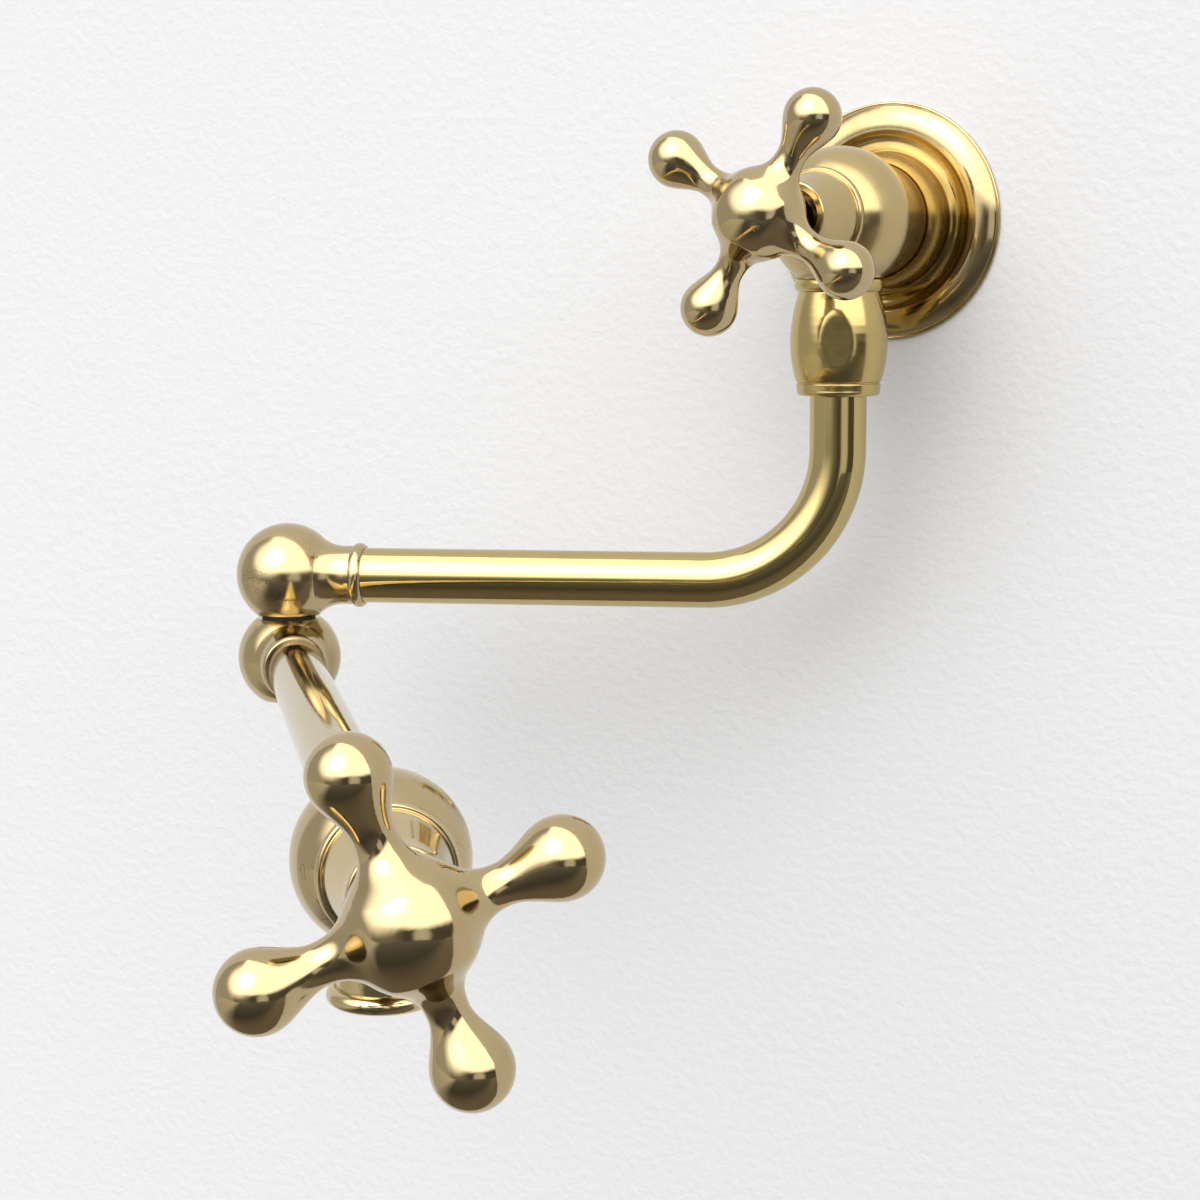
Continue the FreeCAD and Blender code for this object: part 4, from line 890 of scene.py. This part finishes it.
def arm_distance(along, side, out):
    s = np.abs(along)
    off = np.hypot(side, out)
    slope = (arm_radius(s + PROBE) - arm_radius(s - PROBE)) / (2 * PROBE)
    bar = (off - arm_radius(s)) / np.sqrt(1 + slope**2)
    ball = np.sqrt((s - REACH) ** 2 + off**2) - TIP
    return np.where(s < BALL_AT, bar, ball)


def handle_distance(p):
    x, y, z = p.T
    arms = soft_min(arm_distance(x, y, z), arm_distance(y, x, z), ARM_FILLET)
    hub = np.sqrt(x**2 + y**2 + (z - HUB_RISE) ** 2) - HUB_RADIUS
    boss = np.maximum(np.hypot(x, y) - boss_radius(z), np.maximum(BOSS_END - z, z - BOSS_TOP))
    return soft_min(soft_min(arms, hub, HUB_FILLET), boss, BOSS_FILLET)


print("handle is", 2 * (REACH + TIP), "mm across")

# %% [markdown]
# A field has no skin of its own. A rough stack of balls is remeshed to an even skin, and every point of it is
# then moved along the field's slope onto the zero surface.

# %% The handle's skin
STACK_STEP = 1.3
STACK_SHRINK = 0.98
STACK_HUB = 10.5
STACK_BOSS_FROM = -19.2
SKIN_VOXEL = 0.55
SETTLE_ROUNDS = 12
SETTLE_STRIDE = 0.9
LEAST_SLOPE = 0.05


def settle(points):
    for _ in range(SETTLE_ROUNDS):
        value = handle_distance(points)
        slope = np.stack([(handle_distance(points + d) - handle_distance(points - d)) / (2 * PROBE)
                          for d in np.eye(3) * PROBE], 1)
        stride = value / np.maximum((slope**2).sum(1), LEAST_SLOPE)
        points = points - stride[:, None] * slope * SETTLE_STRIDE
    return points


def stack_ball(work, radius, place, fineness=3):
    bmesh.ops.create_icosphere(work, subdivisions=fineness, radius=radius, matrix=Matrix.Translation(place))


rough = bmesh.new()
for s in np.arange(0.0, REACH + 0.1, STACK_STEP):
    size = TIP if s > BALL_AT else float(arm_radius(np.array([s]))[0])
    for arm in ((1, 0, 0), (-1, 0, 0), (0, 1, 0), (0, -1, 0)):
        stack_ball(rough, size * STACK_SHRINK, Vector(arm) * float(REACH if s > BALL_AT else s))
stack_ball(rough, STACK_HUB, (0, 0, HUB_RISE), fineness=4)
for z in np.arange(STACK_BOSS_FROM, 0, STACK_STEP):
    stack_ball(rough, float(boss_radius(z)), (0, 0, z))
pattern = bpy.data.meshes.new("handle_pattern")
rough.to_mesh(pattern)
rough.free()
blank = new_object("handle_pattern", pattern)
skinning = blank.modifiers.new("skin", "REMESH")
skinning.mode = "VOXEL"
skinning.voxel_size = SKIN_VOXEL
handle_mesh = baked(blank, "handle")
settled = settle(points_of(handle_mesh).astype(float))
move_points(handle_mesh, settled * MM)
handle_mesh.materials.clear()
handle_mesh.materials.append(cast_brass)
worst = float(np.abs(handle_distance(settled)).max())
print("handle skin:", len(handle_mesh.vertices), "points, worst", round(worst, 4), "mm")

# %% [markdown]
# A small set screw holds each handle on its spindle. Its hole is drilled into the boss with a Boolean, and
# the CAD screw then shows at the bottom of the hole.

# %% Place both handles
HUB_ABOVE_SEAT = 37.9
SCREW_HOLE_RADIUS = 2.03
SCREW_HOLE_DEPTH = 6.0
SCREW_HOLE = shift(0, -5.5, -18) @ spin(QUARTER, "X")

for name, node, seat, turn in (("handle_wall", "wall_cross_handle", WALL_SEAT, 58.8),
                               ("handle_end", "end_cross_handle", END_SEAT, 21.4)):
    casting = new_object(name, handle_mesh.copy())
    bit = bpy.data.meshes.new("bit")
    work = bmesh.new()
    bmesh.ops.create_cone(work, segments=48, radius1=SCREW_HOLE_RADIUS * MM, radius2=SCREW_HOLE_RADIUS * MM,
                          depth=SCREW_HOLE_DEPTH * MM, cap_ends=True, matrix=SCREW_HOLE)
    work.to_mesh(bit)
    work.free()
    bit.materials.append(cast_brass)
    drill = new_object("drill", bit)
    hole = casting.modifiers.new("hole", "BOOLEAN")
    hole.operation = "DIFFERENCE"
    hole.solver = "EXACT"
    hole.object = drill
    hub = seat @ spin(math.radians(turn), "Z") @ shift(0, 0, HUB_ABOVE_SEAT)
    handle = placed(name, baked(casting, name), hub, sharp=40)
    bpy.data.objects.remove(drill)
    stands_for(handle, node)

# %% [markdown]
# ## Inlet thread
# Behind the wall the inlet is a half-inch pipe thread: a groove that winds round the nipple. The core is
# turned, and a tree sweeps a small diamond along a spiral for the thread's ridge.

# %% The threading tree
RIDGE_SHARE = 0.46

threading = bpy.data.node_groups.new("threading", "GeometryNodeTree")
group_input(threading, "Core", "NodeSocketGeometry")
THREAD_PITCH = group_input(threading, "Pitch", "NodeSocketFloat")
THREAD_START = group_input(threading, "Start", "NodeSocketFloat")
THREAD_LENGTH = group_input(threading, "Length", "NodeSocketFloat")
THREAD_ROOT = group_input(threading, "Root radius", "NodeSocketFloat")
THREAD_DEPTH = group_input(threading, "Depth", "NodeSocketFloat")
THREAD_FINISH = group_input(threading, "Finish", "NodeSocketMaterial")
threading.interface.new_socket("Threaded", in_out="OUTPUT", socket_type="NodeSocketGeometry")
given = add(threading, "NodeGroupInput").outputs
turns = math_node(threading, "DIVIDE", given["Length"], given["Pitch"])
helix = add(threading, "GeometryNodeCurveSpiral", Resolution=72, Rotations=turns, Height=given["Length"],
            Start_Radius=given["Root radius"], End_Radius=given["Root radius"]).outputs[0]
lift = add(threading, "ShaderNodeCombineXYZ", Z=given["Start"]).outputs[0]
helix = add(threading, "GeometryNodeTransform", Geometry=helix, Translation=lift).outputs[0]
helix = add(threading, "GeometryNodeSetCurveNormal", {"mode": "Z_UP"}, Curve=helix).outputs[0]
diamond = add(threading, "GeometryNodeCurvePrimitiveCircle", Resolution=4, Radius=1.0).outputs[0]
half = math_node(threading, "MULTIPLY", given["Pitch"], RIDGE_SHARE)
stretch = add(threading, "ShaderNodeCombineXYZ", X=given["Depth"], Y=half, Z=1.0).outputs[0]
diamond = add(threading, "GeometryNodeTransform", Geometry=diamond, Scale=stretch).outputs[0]
ridge = add(threading, "GeometryNodeCurveToMesh", Curve=helix, Profile_Curve=diamond,
            Fill_Caps=True).outputs[0]
joined = threading.nodes.new("GeometryNodeJoinGeometry")
for piece in (given["Core"], ridge):
    threading.links.new(piece, joined.inputs[0])
whole = add(threading, "GeometryNodeRealizeInstances", Geometry=joined.outputs[0]).outputs[0]
whole = add(threading, "GeometryNodeSetMaterial", Geometry=whole, Material=given["Finish"]).outputs[0]
add(threading, "NodeGroupOutput", Threaded=whole)
print("threading tree has", len(threading.nodes), "nodes")

# %% [markdown]
# The nipple's core carries a plain shoulder inside the flange and a chamfer at its end, so that the thread
# starts cleanly. Its profile is read from the end behind the wall outwards.

# %% Turn the nipple and wind its thread
nipple_steps = [
    (7.5, -18), (8.6, -18), (9.3, -17.3), (9.3, -0.5), (10.48, -0.2), (10.48, 3.2), (9.98, 3.2), (9.98, 12),
    (7.5, 12),
]
thread_sizes = {THREAD_PITCH: 1.814, THREAD_START: -16.9, THREAD_LENGTH: 15.9, THREAD_ROOT: 9.32,
                THREAD_DEPTH: 1.16}
core = new_object("nipple", turned_mesh("nipple", nipple_steps, turned_brass, soft=0.2, sides=128))
die = core.modifiers.new("die", "NODES")
die.node_group = threading
for identifier, size in thread_sizes.items():
    die[identifier] = size * MM
die[THREAD_FINISH] = turned_brass
nipple = placed("nipple", baked(core, "nipple"), WALL)
stands_for(nipple, "inlet_nipple")
